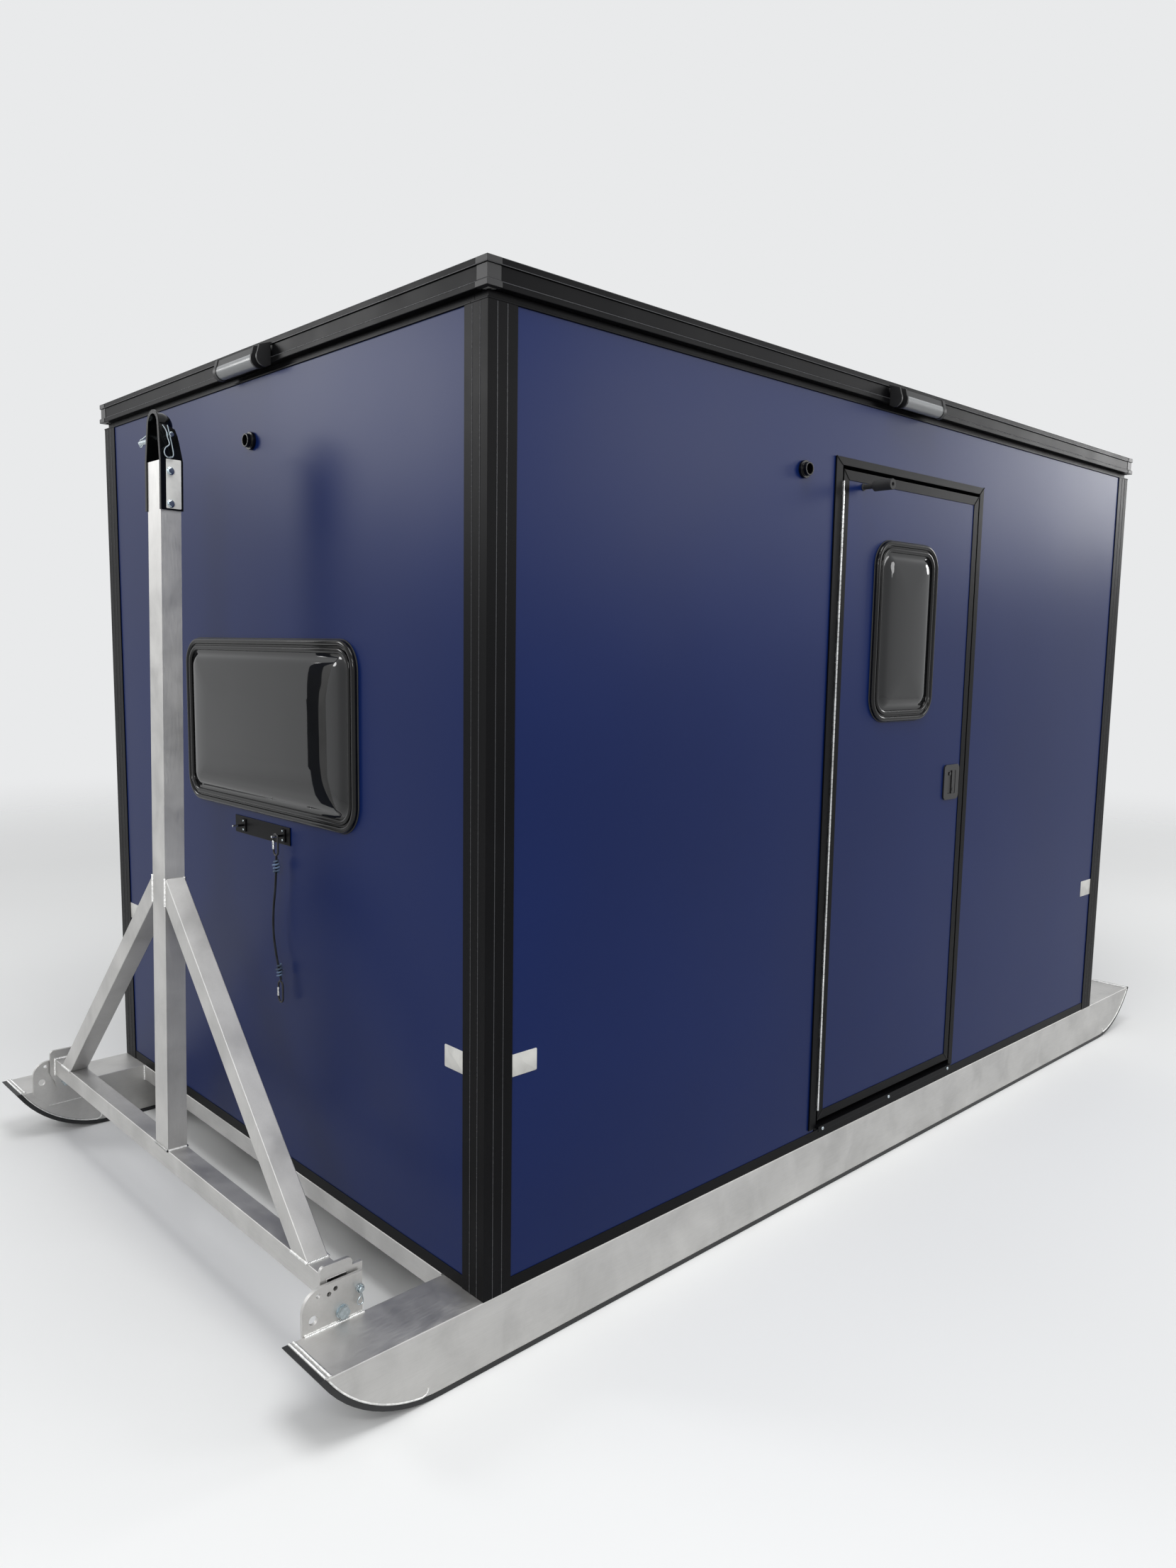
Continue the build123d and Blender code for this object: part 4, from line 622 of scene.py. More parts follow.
class HUT_OT_stage(bpy.types.Operator):
    """Make the camera, the pale floor and the soft light"""

    bl_idname = "hut.stage"
    bl_label = "Stage"

    # The camera that took the photo: its place, its yaw, pitch and roll in degrees, and its lens
    CAMERA_PLACE = (-2.9100, -2.6991, 1.5491)
    CAMERA_TURN = (46.6306, 6.9507, 0.9089)
    FOCAL_LENGTH = 25.64
    SENSOR_WIDTH = 36.0
    FAR_CLIP = 200.0

    # Half the floor's width, and how far out it begins to fade and is gone
    FLOOR_REACH = 60.0
    FADE_START = 3.0
    FADE_END = 11.0

    # The floor as the light sees it, the two shades it shows, the backdrop and the light all round
    FLOOR_LIT = "#8d8c8a"
    FLOOR_SHOWN = ((0.3, "#ebecec"), (0.7, "#f0f1f1"))
    BACKDROP = ("#e9eaeb", 1.0)
    FILL = ("#ffffff", 0.5)

    # Name, place, target, width, depth and power of each lamp
    LAMPS = (
        ("overhead_softbox", (-1.5, -1.8, 6.0), (0.0, 0.0, 1.0), 3.0, 3.0, 140.0),
        ("front_softbox", (-6.5, -4.5, 3.6), (-1.0, 0.0, 1.1), 1.6, 1.6, 90.0),
        ("strip_softbox", (-4.4, -3.8, 4.4), (-0.8, -0.5, 1.3), 3.0, 0.25, 36.0),
        ("door_side_softbox", (4.3, -6.1, 3.5), (0.6, -0.5, 1.2), 2.6, 2.6, 85.0),
        ("far_side_softbox", (6.9, -2.9, 3.3), (1.3, -0.9, 1.4), 1.8, 1.8, 75.0),
        ("hitch_side_softbox", (-5.0, 4.6, 3.6), (-1.5, 0.2, 1.2), 2.0, 2.0, 85.0),
    )

    def seen_directly(self, tree):
        """One for rays from the camera, or by way of metal or glass, and nought for the rest."""
        rays = add_node(tree, "ShaderNodeLightPath").outputs
        shown = rays["Is Camera Ray"]
        for ray in ("Is Transmission Ray", "Is Glossy Ray"):
            shown = add_node(tree, "ShaderNodeMath", {0: shown, 1: rays[ray]}, operation="MAXIMUM")
        return shown

    def make_camera(self, scene):
        """The camera, levelled and turned as the one that took the photo."""
        yaw, pitch, roll = (radians(angle) for angle in self.CAMERA_TURN)
        ahead = Vector((cos(yaw) * cos(pitch), sin(yaw) * cos(pitch), -sin(pitch)))
        level = Vector((sin(yaw), -cos(yaw), 0))
        upward = level.cross(ahead)
        right = cos(roll) * level + sin(roll) * upward
        up = cos(roll) * upward - sin(roll) * level
        turn = Matrix((right, up, -ahead)).transposed().to_4x4()
        lens = bpy.data.cameras.new("photo_camera")
        lens.lens = self.FOCAL_LENGTH
        lens.sensor_width = self.SENSOR_WIDTH
        lens.clip_end = self.FAR_CLIP
        scene.camera = place_object("photo_camera", lens)
        scene.camera.matrix_world = Matrix.Translation(self.CAMERA_PLACE) @ turn

    def make_floor(self):
        """A wide pale floor that takes the shadow and fades into the backdrop."""
        sheet = bmesh.new()
        bmesh.ops.create_grid(sheet, x_segments=2, y_segments=2, size=self.FLOOR_REACH)
        mesh = bpy.data.meshes.new("studio_floor")
        sheet.to_mesh(mesh)
        sheet.free()
        material, tree, place = new_finish("plain_pale_floor")
        cast = add_node(tree, "ShaderNodeTexNoise", {"Vector": place, "Scale": 0.4, "Detail": 2.0})
        pale = [(stop, opaque(linear(code))) for stop, code in self.FLOOR_SHOWN]
        tint = add_node(tree, "ShaderNodeValToRGB", {"Fac": cast}, stops=pale)
        mixing = {0: self.seen_directly(tree), 6: opaque(linear(self.FLOOR_LIT)), 7: tint}
        plain = add_node(tree, "ShaderNodeMix", mixing, data_type="RGBA")
        matt = {"Base Color": plain.outputs[2], "Roughness": 0.6, "Specular IOR Level": 0.2}
        ground = add_node(tree, "ShaderNodeBsdfPrincipled", matt)
        reach = add_node(tree, "ShaderNodeVectorMath", {0: place}, operation="LENGTH")
        span = {"From Min": self.FADE_START, "From Max": self.FADE_END}
        span["Value"] = reach.outputs["Value"]
        fade = add_node(tree, "ShaderNodeMapRange", span, interpolation_type="SMOOTHSTEP")
        clear = add_node(tree, "ShaderNodeBsdfTransparent")
        blended = add_node(tree, "ShaderNodeMixShader", {0: fade, 1: ground, 2: clear})
        add_node(tree, "ShaderNodeOutputMaterial", {"Surface": blended})
        mesh.materials.append(material)
        floor = place_object("studio_floor", mesh)

    def make_backdrop(self, scene):
        """A pale backdrop where it is seen, and a plain white light from all round."""
        scene.world = bpy.data.worlds.new("studio")
        scene.world.use_nodes = True
        tree = scene.world.node_tree
        tree.nodes.clear()
        mixing = {0: self.seen_directly(tree)}
        for key, (code, strength) in enumerate((self.FILL, self.BACKDROP), 1):
            glow = {"Color": opaque(linear(code)), "Strength": strength}
            mixing[key] = add_node(tree, "ShaderNodeBackground", glow)
        mixed = add_node(tree, "ShaderNodeMixShader", mixing)
        add_node(tree, "ShaderNodeOutputWorld", {"Surface": mixed})

    def execute(self, context):
        scene = context.scene
        scene.view_settings.view_transform = "Standard"
        self.make_camera(scene)
        self.make_floor()
        self.make_backdrop(scene)
        for name, place, target, size, depth, power in self.LAMPS:
            light = bpy.data.lights.new(name, "AREA")
            light.shape = "ELLIPSE" if size == depth else "RECTANGLE"
            light.size = size
            light.size_y = depth
            light.energy = power
            aim = (Vector(target) - Vector(place)).to_track_quat("-Z", "Y").to_matrix().to_4x4()
            place_object(name, light).matrix_world = Matrix.Translation(place) @ aim
        return {"FINISHED"}


class HUT_OT_tether(bpy.types.Operator):
    """Hang the cord and its two snap clips from the near hook"""

    bl_idname = "hut.tether"
    bl_label = "Tether"

    # The sleeve that closes a clip: distance along it, and its radius as a share of the fullest
    GATE = ((-13, 0.8), (-12, 1), (-3, 1), (-2.4, 0.9), (-1.8, 1), (8, 1), (9, 0.8), (9.5, 0.72))
    GATE_RADIUS = CLIP_ROD * 0.72
    GATE_SIDES = 14

    # Each knot: its middle along the wall and down from the cord's head, and its radius
    KNOTS = (("tether_upper_knot", -0.6, 26, 6.2), ("tether_lower_knot", -7.5, 300, 5.4))
    KNOT_TURNS = 4
    KNOT_PITCH = 8.5
    KNOT_STRAND = 2.6 * MM
    POINTS_A_TURN = 16

    # The cord's whole length in metres, as the photo shows it from end to end
    CORD_LENGTH = 0.325

    def clip(self, name, top):
        """One snap clip: a black oval body, open on one side, where a bright sleeve closes it."""
        centre = top - Vector((0, 0, CLIP_HEIGHT / 2))
        ring = oval_path(centre, CLIP_WIDTH - CLIP_ROD, CLIP_HEIGHT - CLIP_ROD)
        body = bmesh.new()
        tube(body, ring, CLIP_ROD / 2, joined=True)
        clip = piece_from(body, name, "moulding")
        keep_piece(clip, "hut", "moulded_black")
        sleeve = bmesh.new()
        side = centre + Vector((0, (CLIP_WIDTH - CLIP_ROD) / 2, 0))
        turn = [2 * pi * k / self.GATE_SIDES for k in range(self.GATE_SIDES)]
        loops = []
        for height, share in self.GATE:
            radius = self.GATE_RADIUS * share
            loops.append(
                [side + Vector((radius * cos(a), radius * sin(a), height * MM)) for a in turn]
            )
        loft(sleeve, loops)
        gate = piece_from(sleeve, name + "_gate", "hinge")
        keep_piece(gate, "hut")
        return [clip, gate]

    def knot(self, name, centre, radius):
        """A hitch of the cord's own end: loose wraps round the cord, wide in the middle."""
        shell = bmesh.new()
        path = []
        steps = self.KNOT_TURNS * self.POINTS_A_TURN
        for k in range(steps + 1):
            angle = 2 * pi * k / self.POINTS_A_TURN
            height = (k / steps - 0.5) * self.KNOT_TURNS * self.KNOT_PITCH * MM
            reach = radius * (0.72 + 0.5 * sin(pi * k / steps) + 0.14 * sin(angle * 0.5 + 0.6))
            path.append(centre + Vector((reach * cos(angle), reach * sin(angle), height)))
        tube(shell, path, self.KNOT_STRAND, sides=8)
        return keep_piece(piece_from(shell, name, "knot"), "hut")

    def execute(self, context):
        curve = bpy.data.curves.new("tether_line", "CURVE")
        curve.dimensions = "3D"
        curve.bevel_depth = CORD_RADIUS
        curve.bevel_resolution = 3
        curve.resolution_u = 16
        curve.use_fill_caps = True
        route = [tether_point(along, drop) for along, drop in TETHER_DROPS]
        spline = curve.splines.new("NURBS")
        spline.points.add(len(route) - 1)
        for control, point in zip(spline.points, route):
            control.co = (*point, 1.0)
        spline.order_u = 3
        spline.use_endpoint_u = True
        curve.materials.append(finish("cord"))
        cord = place_object("tether_line", curve)
        keep_piece(cord, "hut", "cord_fabric", ("tether_cord",))

        upper = self.clip("tether_upper_clip", Vector((TETHER_X, NEAR_Y + HOOK_ALONG, CLIP_HEAD_Z)))
        lower = self.clip("tether_lower_clip", tether_point(*LOWER_CLIP))
        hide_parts("tether_clips")
        ends = [
            self.knot(name, tether_point(along, drop), radius * MM)
            for name, along, drop, radius in self.KNOTS
        ]
        return {"FINISHED"}


class HUT_OT_panels(bpy.types.Operator):
    """Finish the wall skins, the door leaf, the roof and the floor"""

    bl_idname = "hut.panels"
    bl_label = "Panels"

    def execute(self, context):
        walls = ("hitch_end", "rear_end", "back", "left_of_door", "right_of_door", "over_door")
        for node in (*("wall_" + wall for wall in walls), "door_leaf"):
            put_finish(node, "panel")
        put_finish("roof_panel", "roof")
        put_finish("floor_panel", "board")
        return {"FINISHED"}


class HUT_OT_trims(bpy.types.Operator):
    """Round the edges of the posts, channels, roof edge and door trims"""

    bl_idname = "hut.trims"
    bl_label = "Trims"

    def execute(self, context):
        for node, body, radius in (
            ("corner_posts", "hut", 0.5),
            ("floor_channels", "hut", 0.4),
            ("top_channels", "hut", 0.8),
            ("roof_edge", "hut", 0.7),
            ("door_frame", "hut", 0.8),
            ("door_sill", "hut", 0.8),
            ("door_edge_trim", "door", 0.5),
            ("hook_plate", "hut", 0.8),
            ("tie_hooks", "hut", 0.8),
        ):
            softened(node, "trim", radius * MM, body, "black_extrusion")
        softened("roof_corner_caps", "moulding", 1.5 * MM, "hut", "moulded_black")
        return {"FINISHED"}


class HUT_OT_windows(bpy.types.Operator):
    """Make the moulded frames, the bulged panes, the seals and the stays of the three windows"""

    bl_idname = "hut.windows"
    bl_label = "Windows"

    # A frame in section: how far in from its outer edge, and how far out from the skin
    OUTER_BEAD = ((0, 0), (0, 6.5), (0.5, 9.2), (1.9, 11.7), (4.2, 13.4), (7, 14), (10, 13.6))
    GROOVE = ((12.6, 12.2), (14.3, 10.2), (15, 8), (19, 8), (19.4, 10.2), (20.6, 12))
    INNER_BEAD = ((22.8, 13.1), (26, 13.2), (29.5, 12.4), (31.6, 10.6), (32.3, 8))
    BEADS = (*OUTER_BEAD, *GROOVE, *INNER_BEAD)

    # Insets of the opening, the sash and the ring inside, the ring's gauge and the outer corner
    OPENING_INSET = 28.3
    SASH_INSET = 32.3
    RING_INSET = 14.0
    GAUGE = 4.0
    CORNER = 72.0

    # Middle of each window along its wall and over the floor, its width and height, and its wall
    DOOR_WINDOW = (1532, 1447, 326, 511, 34)
    END_WINDOW = (931, 1170, 902, 458, 50)

    # A pane in section: how far in from its edge, and its share of the bulge
    RISE = ((0, 0), (3, 0), (7, 0.02), (11, 0.12), (15, 0.3), (19, 0.47), (24, 0.6), (32, 0.7))
    CROWN = ((50, 0.81), (75, 0.9), (110, 0.96))
    PANE_EDGE = 32.6
    PANE_SEAT = 6 * MM
    PANE_GAUGE = 4 * MM
    LEAST_HALF_WIDTH = 20 * MM
    LEAST_CORNER = 24 * MM
    SEAL_LIFT = 1 * MM

    # The stays behind an end window: their margin, how far they bow and how wide they are
    STAY_INSET = 28
    STAY_MARGIN = 60
    STAY_BOW = 26
    STAY_WIDTH = 24

    def ring(self, shell, place, width, height, profile, context):
        """A closed frame whose section is a list of insets and heights, in millimetres."""
        points = context.scene.hut_sizes.pane_points
        loops = []
        for inset, out in profile:
            outline = rounded_loop(
                width / 2 - inset * MM, height / 2 - inset * MM, (self.CORNER - inset) * MM, points
            )
            loops.append([place.at(x, y, out * MM) for x, y in outline])
        loft(shell, loops, joined=True)

    def frame(self, shell, place, width, height, wall, context):
        """The beaded flange outside, the sleeve through the wall and the ring inside."""
        sleeve = (
            (self.SASH_INSET, -wall - self.GAUGE),
            (self.RING_INSET, -wall - self.GAUGE),
            (self.RING_INSET, -wall),
            (self.OPENING_INSET, -wall),
            (self.OPENING_INSET, 0),
        )
        self.ring(shell, place, width, height, (*self.BEADS, *sleeve), context)

    def stays(self, shell, place, width, height):
        """Two flat curved stays behind a pane, bowed toward its middle."""
        foot = height / 2 - (self.STAY_INSET + self.GAUGE) * MM
        for hand in (-1, 1):
            loops = []
            for k in range(17):
                share = k / 8 - 1
                margin = self.STAY_INSET + self.STAY_MARGIN + self.STAY_BOW * (1 - share**2)
                outer = width / 2 - margin * MM
                inner = outer - self.STAY_WIDTH * MM
                section = ((outer, -3), (inner, -3), (inner, -7), (outer, -7))
                loops.append([place.at(hand * x, share * foot, out * MM) for x, out in section])
            loft(shell, loops)

    def pane(self, shell, place, width, height, context):
        """One thermoformed sheet: a flat rim, a rounded rise and a slow crown."""
        sizes = context.scene.hut_sizes
        loops = []
        back = (0, -self.PANE_GAUGE / sizes.pane_bulge)
        for inset, share in (back, *self.RISE, *self.CROWN):
            margin = (self.PANE_EDGE + inset) * MM
            if margin > min(width, height) / 2 - self.LEAST_HALF_WIDTH:
                break
            corner = max((self.CORNER - self.PANE_EDGE - inset * 0.5) * MM, self.LEAST_CORNER)
            halves = (width / 2 - margin, height / 2 - margin)
            outline = rounded_loop(*halves, corner, sizes.pane_points)
            lift = self.PANE_SEAT + share * sizes.pane_bulge
            loops.append([place.at(x, y, lift) for x, y in outline])
        loft(shell, loops)

    def seal(self, shell, place, width, height, context):
        """The rubber seal between a frame and the skin."""
        sizes = context.scene.hut_sizes
        outline = rounded_loop(width / 2, height / 2, self.CORNER * MM, sizes.pane_points)
        path = [place.at(x, y, self.SEAL_LIFT) for x, y in outline]
        tube(shell, path, sizes.seal_radius, sides=8, joined=True)

    def execute(self, context):
        along, up, *door_size = self.DOOR_WINDOW
        door = [door_wall_place(along, up, 0)]
        along, up, *end_size = self.END_WINDOW
        ends = [end_wall_place(side, along, up) for side in (-1, 1)]
        for name, body, node, places, (width, height, wall) in (
            ("door", "door", "door_window_frame", door, door_size),
            ("end", "hut", "end_window_frames", ends, end_size),
        ):
            frames, panes, seals = bmesh.new(), bmesh.new(), bmesh.new()
            for place in places:
                self.frame(frames, place, width * MM, height * MM, wall, context)
                self.pane(panes, place, width * MM, height * MM, context)
                self.seal(seals, place, width * MM, height * MM, context)
                if name == "end":
                    self.stays(frames, place, width * MM, height * MM)
            pane_node = node.replace("frame", "pane")
            for shell, title, kind, smooth_angle, slot, nodes in (
                (frames, "_frames", "window_frame", 35, "gloss_frame", (node,)),
                (panes, "_glazing", "glazing", 60, "smoked_sheet", (pane_node,)),
                (seals, "_glazing_seal", "rubber", 60, "stop_rubber", ()),
            ):
                keep_piece(piece_from(shell, name + title, kind, smooth_angle), body, slot, nodes)
        return {"FINISHED"}


def open_tree(name, inputs):
    """Geometry nodes that take a mesh, some named inputs and a material, and give a mesh."""
    tree = bpy.data.node_groups.new(name, "GeometryNodeTree")
    for title, kind in (("Geometry", "Geometry"), *inputs, ("Material", "Material")):
        tree.interface.new_socket(title, in_out="INPUT", socket_type="NodeSocket" + kind)
    tree.interface.new_socket("Geometry", in_out="OUTPUT", socket_type="NodeSocketGeometry")
    return tree, add_node(tree, "NodeGroupInput").outputs


def close_tree(tree, geometry, given):
    """Makes what a tree has grown into plain faces of the given material."""
    plain = add_node(tree, "GeometryNodeRealizeInstances", {"Geometry": geometry})
    coat = {"Geometry": plain, "Material": given["Material"]}
    add_node(tree, "NodeGroupOutput", {"Geometry": add_node(tree, "GeometryNodeSetMaterial", coat)})
    return tree


def grow(piece, tree, settings):
    """Runs a geometry node tree on a piece with its named inputs, and keeps the plain mesh."""
    modifier = piece.modifiers.new(tree.name, "NODES")
    modifier.node_group = tree
    for item in tree.interface.items_tree:
        if item.in_out == "INPUT" and item.name in settings:
            modifier[item.identifier] = settings[item.name]
    return settle(piece)


def path_piece(name, paths):
    """A mesh of bare edges along open paths."""
    mesh = bpy.data.meshes.new(name)
    points = []
    edges = []
    for path in paths:
        edges += [(len(points) + i, len(points) + i + 1) for i in range(len(path) - 1)]
        points += [tuple(point) for point in path]
    mesh.from_pydata(points, edges, [])
    return place_object(name, mesh)


def knuckle_tree():
    """Geometry nodes that add knuckles, at even steps along a line, to the strip under them."""
    inputs = (("Knuckle", "Object"), ("Count", "Int"), ("Start", "Vector"), ("Step", "Vector"))
    tree, given = open_tree("hinge_knuckles", inputs)
    steps = {"Count": given["Count"], "Start Location": given["Start"], "Offset": given["Step"]}
    line = add_node(tree, "GeometryNodeMeshLine", steps, mode="OFFSET")
    knuckle = add_node(tree, "GeometryNodeObjectInfo", {"Object": given["Knuckle"]})
    spread = {"Points": line, "Instance": knuckle.outputs["Geometry"]}
    row = add_node(tree, "GeometryNodeInstanceOnPoints", spread)
    both = add_node(tree, "GeometryNodeJoinGeometry", {"Geometry": row})
    tree.links.new(given["Geometry"], both.inputs["Geometry"])
    return close_tree(tree, both, given)


class HUT_OT_hinge(bpy.types.Operator):
    """Make the piano hinge: short knuckles that take turns along its pin"""

    bl_idname = "hut.hinge"
    bl_label = "Hinge"

    # A leaf in section: across from the pin's middle, and back from it
    LEAF = ((1.8, 2.35), (3.0, 2.0), (3.0, 19.0), (1.8, 19.0))

    def execute(self, context):
        pitch = context.scene.hut_sizes.knuckle_pitch
        low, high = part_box("hinge_pin")
        x, y = (low.x + high.x) / 2, (low.y + high.y) / 2
        count = int((high.z - low.z) / pitch) // 2
        length = pitch / MM
        shell = bmesh.new()
        profile = ((0.3, 2.3), (0.9, 3.0), (length - 0.9, 3.0), (length - 0.3, 2.3))
        turned(shell, Vector((0, 0, 0)), (0, 0, 1), profile, 14)
        knuckle = piece_from(shell, "hinge_knuckle", "hinge")
        tree = knuckle_tree()
        for name, body, node, side in (
            ("hinge_frame_leaf", "hut", "hinge_frame_strip", -1),
            ("hinge_door_leaf", "door", "hinge_leaf_strip", 1),
        ):
            strip = bmesh.new()
            loops = [
                [(x + side * across * MM, y + back * MM, z) for across, back in self.LEAF]
                for z in (low.z, high.z)
            ]
            loft(strip, loops)
            piece = piece_from(strip, name, "hinge")
            start = low.z + (pitch if side > 0 else 0)
            settings = {
                "Knuckle": knuckle,
                "Count": count,
                "Start": (x, y, start),
                "Step": (0, 0, 2 * pitch),
                "Material": finish("hinge"),
            }
            keep_piece(grow(piece, tree, settings), body, "stainless_hinge", (node,))
        bpy.data.objects.remove(knuckle)
        put_finish("hinge_pin", "hinge")
        return {"FINISHED"}


class HUT_OT_fittings(bpy.types.Operator):
    """Finish the latch, door stop, cable ports and porch lights, and make the hooks' bright tips"""

    bl_idname = "hut.fittings"
    bl_label = "Fittings"

    # Where a hook's bright tip begins, and its profile from there
    TIP_START = 20 * MM
    TIP = ((0, 3.1), (13.6, 3.1), (14.2, 2.4))

    def execute(self, context):
        softened("door_latch", "moulding", 0.8 * MM, "door", "moulded_black")
        softened("door_stop", "rubber", 1.2 * MM, "door", "stop_rubber")
        softened("cable_ports", "port", 1.2 * MM, "hut", "moulded_black", 3)
        softened("porch_light_housings", "moulding", 1.2 * MM, "hut", "moulded_black")
        put_finish("porch_light_lenses", "lens")
        tips = bmesh.new()
        for along in HOOKS_ALONG:
            root = Vector((-END_X - self.TIP_START, NEAR_Y + along * MM, HOOK_Z))
            turned(tips, root, (-1, 0, 0), self.TIP, 16)
        keep_piece(piece_from(tips, "hook_tips", "hinge"), "hut", "zinc_hardware")
        return {"FINISHED"}


class HUT_OT_skis(bpy.types.Operator):
    """Round the edges of the skis and finish their beams and runners"""

    bl_idname = "hut.skis"
    bl_label = "Skis"

    def execute(self, context):
        softened("ski_door_side", "ski", 2.5 * MM, "hut", "mill_aluminium")
        softened("ski_back_side", "ski", 2.5 * MM, "hut", "mill_aluminium")
        softened("cross_beams", "cross", 2.5 * MM, "hut", "mill_aluminium")
        softened("ski_runners", "runner", 1.5 * MM, "hut", "ski_plastic")
        return {"FINISHED"}


# The stowed hitch: its lean, its pivot out from the wall and over the floor, and its own axes
STOW_LEAN = radians(1.1)
PIVOT_REACH = 254 * MM
PIVOT_RISE = 20 * MM
PIVOT = Vector((-END_X - PIVOT_REACH, MID_Y, DECK_Z + PIVOT_RISE))
LEAN_X = Vector((cos(STOW_LEAN), 0, -sin(STOW_LEAN)))
LEAN_Z = Vector((sin(STOW_LEAN), 0, cos(STOW_LEAN)))

# The coupler's middle, toward the wall, and half its width
COUPLER_MIDDLE = -8
COUPLER_HALF = 42

# The bent wires, in millimetres across and up from the pins that carry them
PIN_CLIP_LOOP = ((-8, 21), (8, -46), (3, -53), (-6, -55), (-14, -51), (-17, -42), (-13, -32))
PIN_CLIP_TAIL = ((-4, -26), (-3, -20), (-9.5, -5), (-10, 7), (-20, 20))
PIN_CLIP_BENDS = (*PIN_CLIP_LOOP, *PIN_CLIP_TAIL)
BAIL_BENDS = ((-18, -3), (-12, -9), (2, -9), (2, 9), (-14, 9), (-49, 17))


def hitch_point(toward_wall, across, height):
    """A point of the stowed hitch, in millimetres from its pivot."""
    return PIVOT + LEAN_X * toward_wall * MM + Vector((0, across * MM, 0)) + LEAN_Z * height * MM


class HUT_OT_hitch(bpy.types.Operator):
    """Round the edges of the hitch's tubes and plates, and make its bolts, pins and wire clips"""

    bl_idname = "hut.hitch"
    bl_label = "Hitch"

    # Heights over the pivot, and the cross pin's near end, its length and the groove for its clip
    BOLT_HEIGHTS = (1698, 1775)
    PIN_HEIGHT = 1860
    PIN_START = -53
    PIN_LENGTH = 190
    PIN_GROOVE = 6

    # A lock pin's root, toward the wall, across and up, its clip's place on it, and the clip's size
    LOCK_DEPTH = 41
    LOCK_ACROSS = 801
    LOCK_HEIGHT = 36
    LOCK_CLIP_ALONG = 40
    LOCK_CLIP_SHARE = 0.6

    def coupler_fasteners(self, shell):
        """Two bolts through the sleeve, and the cross pin with its spring clip and its bail."""
        washer = ((0, 9.4), (1.2, 9.4), (1.6, 8.8))
        bolt_head = ((1.6, 8.0), (5.2, 8.0), (6.0, 6.9))
        bolt = ((0, 4), (2 * COUPLER_HALF, 4))
        for height in self.BOLT_HEIGHTS:
            turned(shell, hitch_point(COUPLER_MIDDLE, -COUPLER_HALF, height), (0, 1, 0), bolt, 12)
            for side in (-1, 1):
                seat = hitch_point(COUPLER_MIDDLE, side * COUPLER_HALF, height)
                turned(shell, seat, (0, side, 0), washer, 28)
                turned(shell, seat, (0, side, 0), bolt_head, 6)
        groove = ((4.6, 6.0), (4.6, 4.8), (7.4, 4.8), (7.4, 6.0))
        shank = ((0, 4.6), (1.4, 6.0), *groove, (188.6, 6.0), (self.PIN_LENGTH, 4.6))
        clip_at, bail_at = self.PIN_START + self.PIN_GROOVE, self.PIN_START + self.PIN_LENGTH
        middle, height = COUPLER_MIDDLE, self.PIN_HEIGHT
        turned(shell, hitch_point(middle, self.PIN_START, height), (0, 1, 0), shank, 24)
        clip = [hitch_point(middle + x, clip_at, height + y) for x, y in PIN_CLIP_BENDS]
        tube(shell, bent(clip), 1.8 * MM)
        bail = [hitch_point(middle, bail_at + x, height + y) for x, y in BAIL_BENDS]
        tube(shell, bent(bail), 1.5 * MM)

    def lock_fasteners(self, shell):
        """The pin that each end plate rests on, with its collar and its spring clip."""
        collar = ((31, 8.4), (31.6, 9.0), (36.4, 9.0), (37, 8.4))
        shank = ((0, 4.8), (1.2, 6.0), (31, 6.0), *collar, (37, 6.0), (42, 6.0), (43, 5.0))
        for side in (-1, 1):
            root = hitch_point(self.LOCK_DEPTH, side * self.LOCK_ACROSS, self.LOCK_HEIGHT)
            turned(shell, root, (0, side, 0), shank, 24)
            across = side * (self.LOCK_ACROSS + self.LOCK_CLIP_ALONG)
            hole = hitch_point(self.LOCK_DEPTH, across, self.LOCK_HEIGHT)
            clip = [hole + Vector((x, 0, y)) * self.LOCK_CLIP_SHARE * MM for x, y in PIN_CLIP_BENDS]
            tube(shell, bent(clip), 1.2 * MM)

    def execute(self, context):
        sizes = context.scene.hut_sizes
        softened("hitch_mast", "upright", sizes.edge_radius, "hitch", "mill_aluminium", 3)
        softened("hitch_crossbar", "cross", sizes.edge_radius, "hitch", "mill_aluminium", 3)
        softened("hitch_braces", "upright", sizes.edge_radius, "hitch", "mill_aluminium", 3)
        softened("hitch_end_plates", "plate", 0.8 * MM, "hitch", "mill_aluminium")
        softened("pivot_plates", "plate", 0.8 * MM, "hut", "mill_aluminium")
        softened("coupler", "coupler", 1.6 * MM, "hitch", "coupler_black", 3)
        softened("pivot_bolts", "zinc", 0.8 * MM, "hut", "zinc_hardware")
        for name, body, node, make in (
            ("coupler_fasteners", "hitch", "coupler_hardware", self.coupler_fasteners),
            ("lock_fasteners", "hut", "lock_pins", self.lock_fasteners),
        ):
            shell = bmesh.new()
            make(shell)
            keep_piece(piece_from(shell, name, "zinc"), body, "zinc_hardware", (node,))
        return {"FINISHED"}


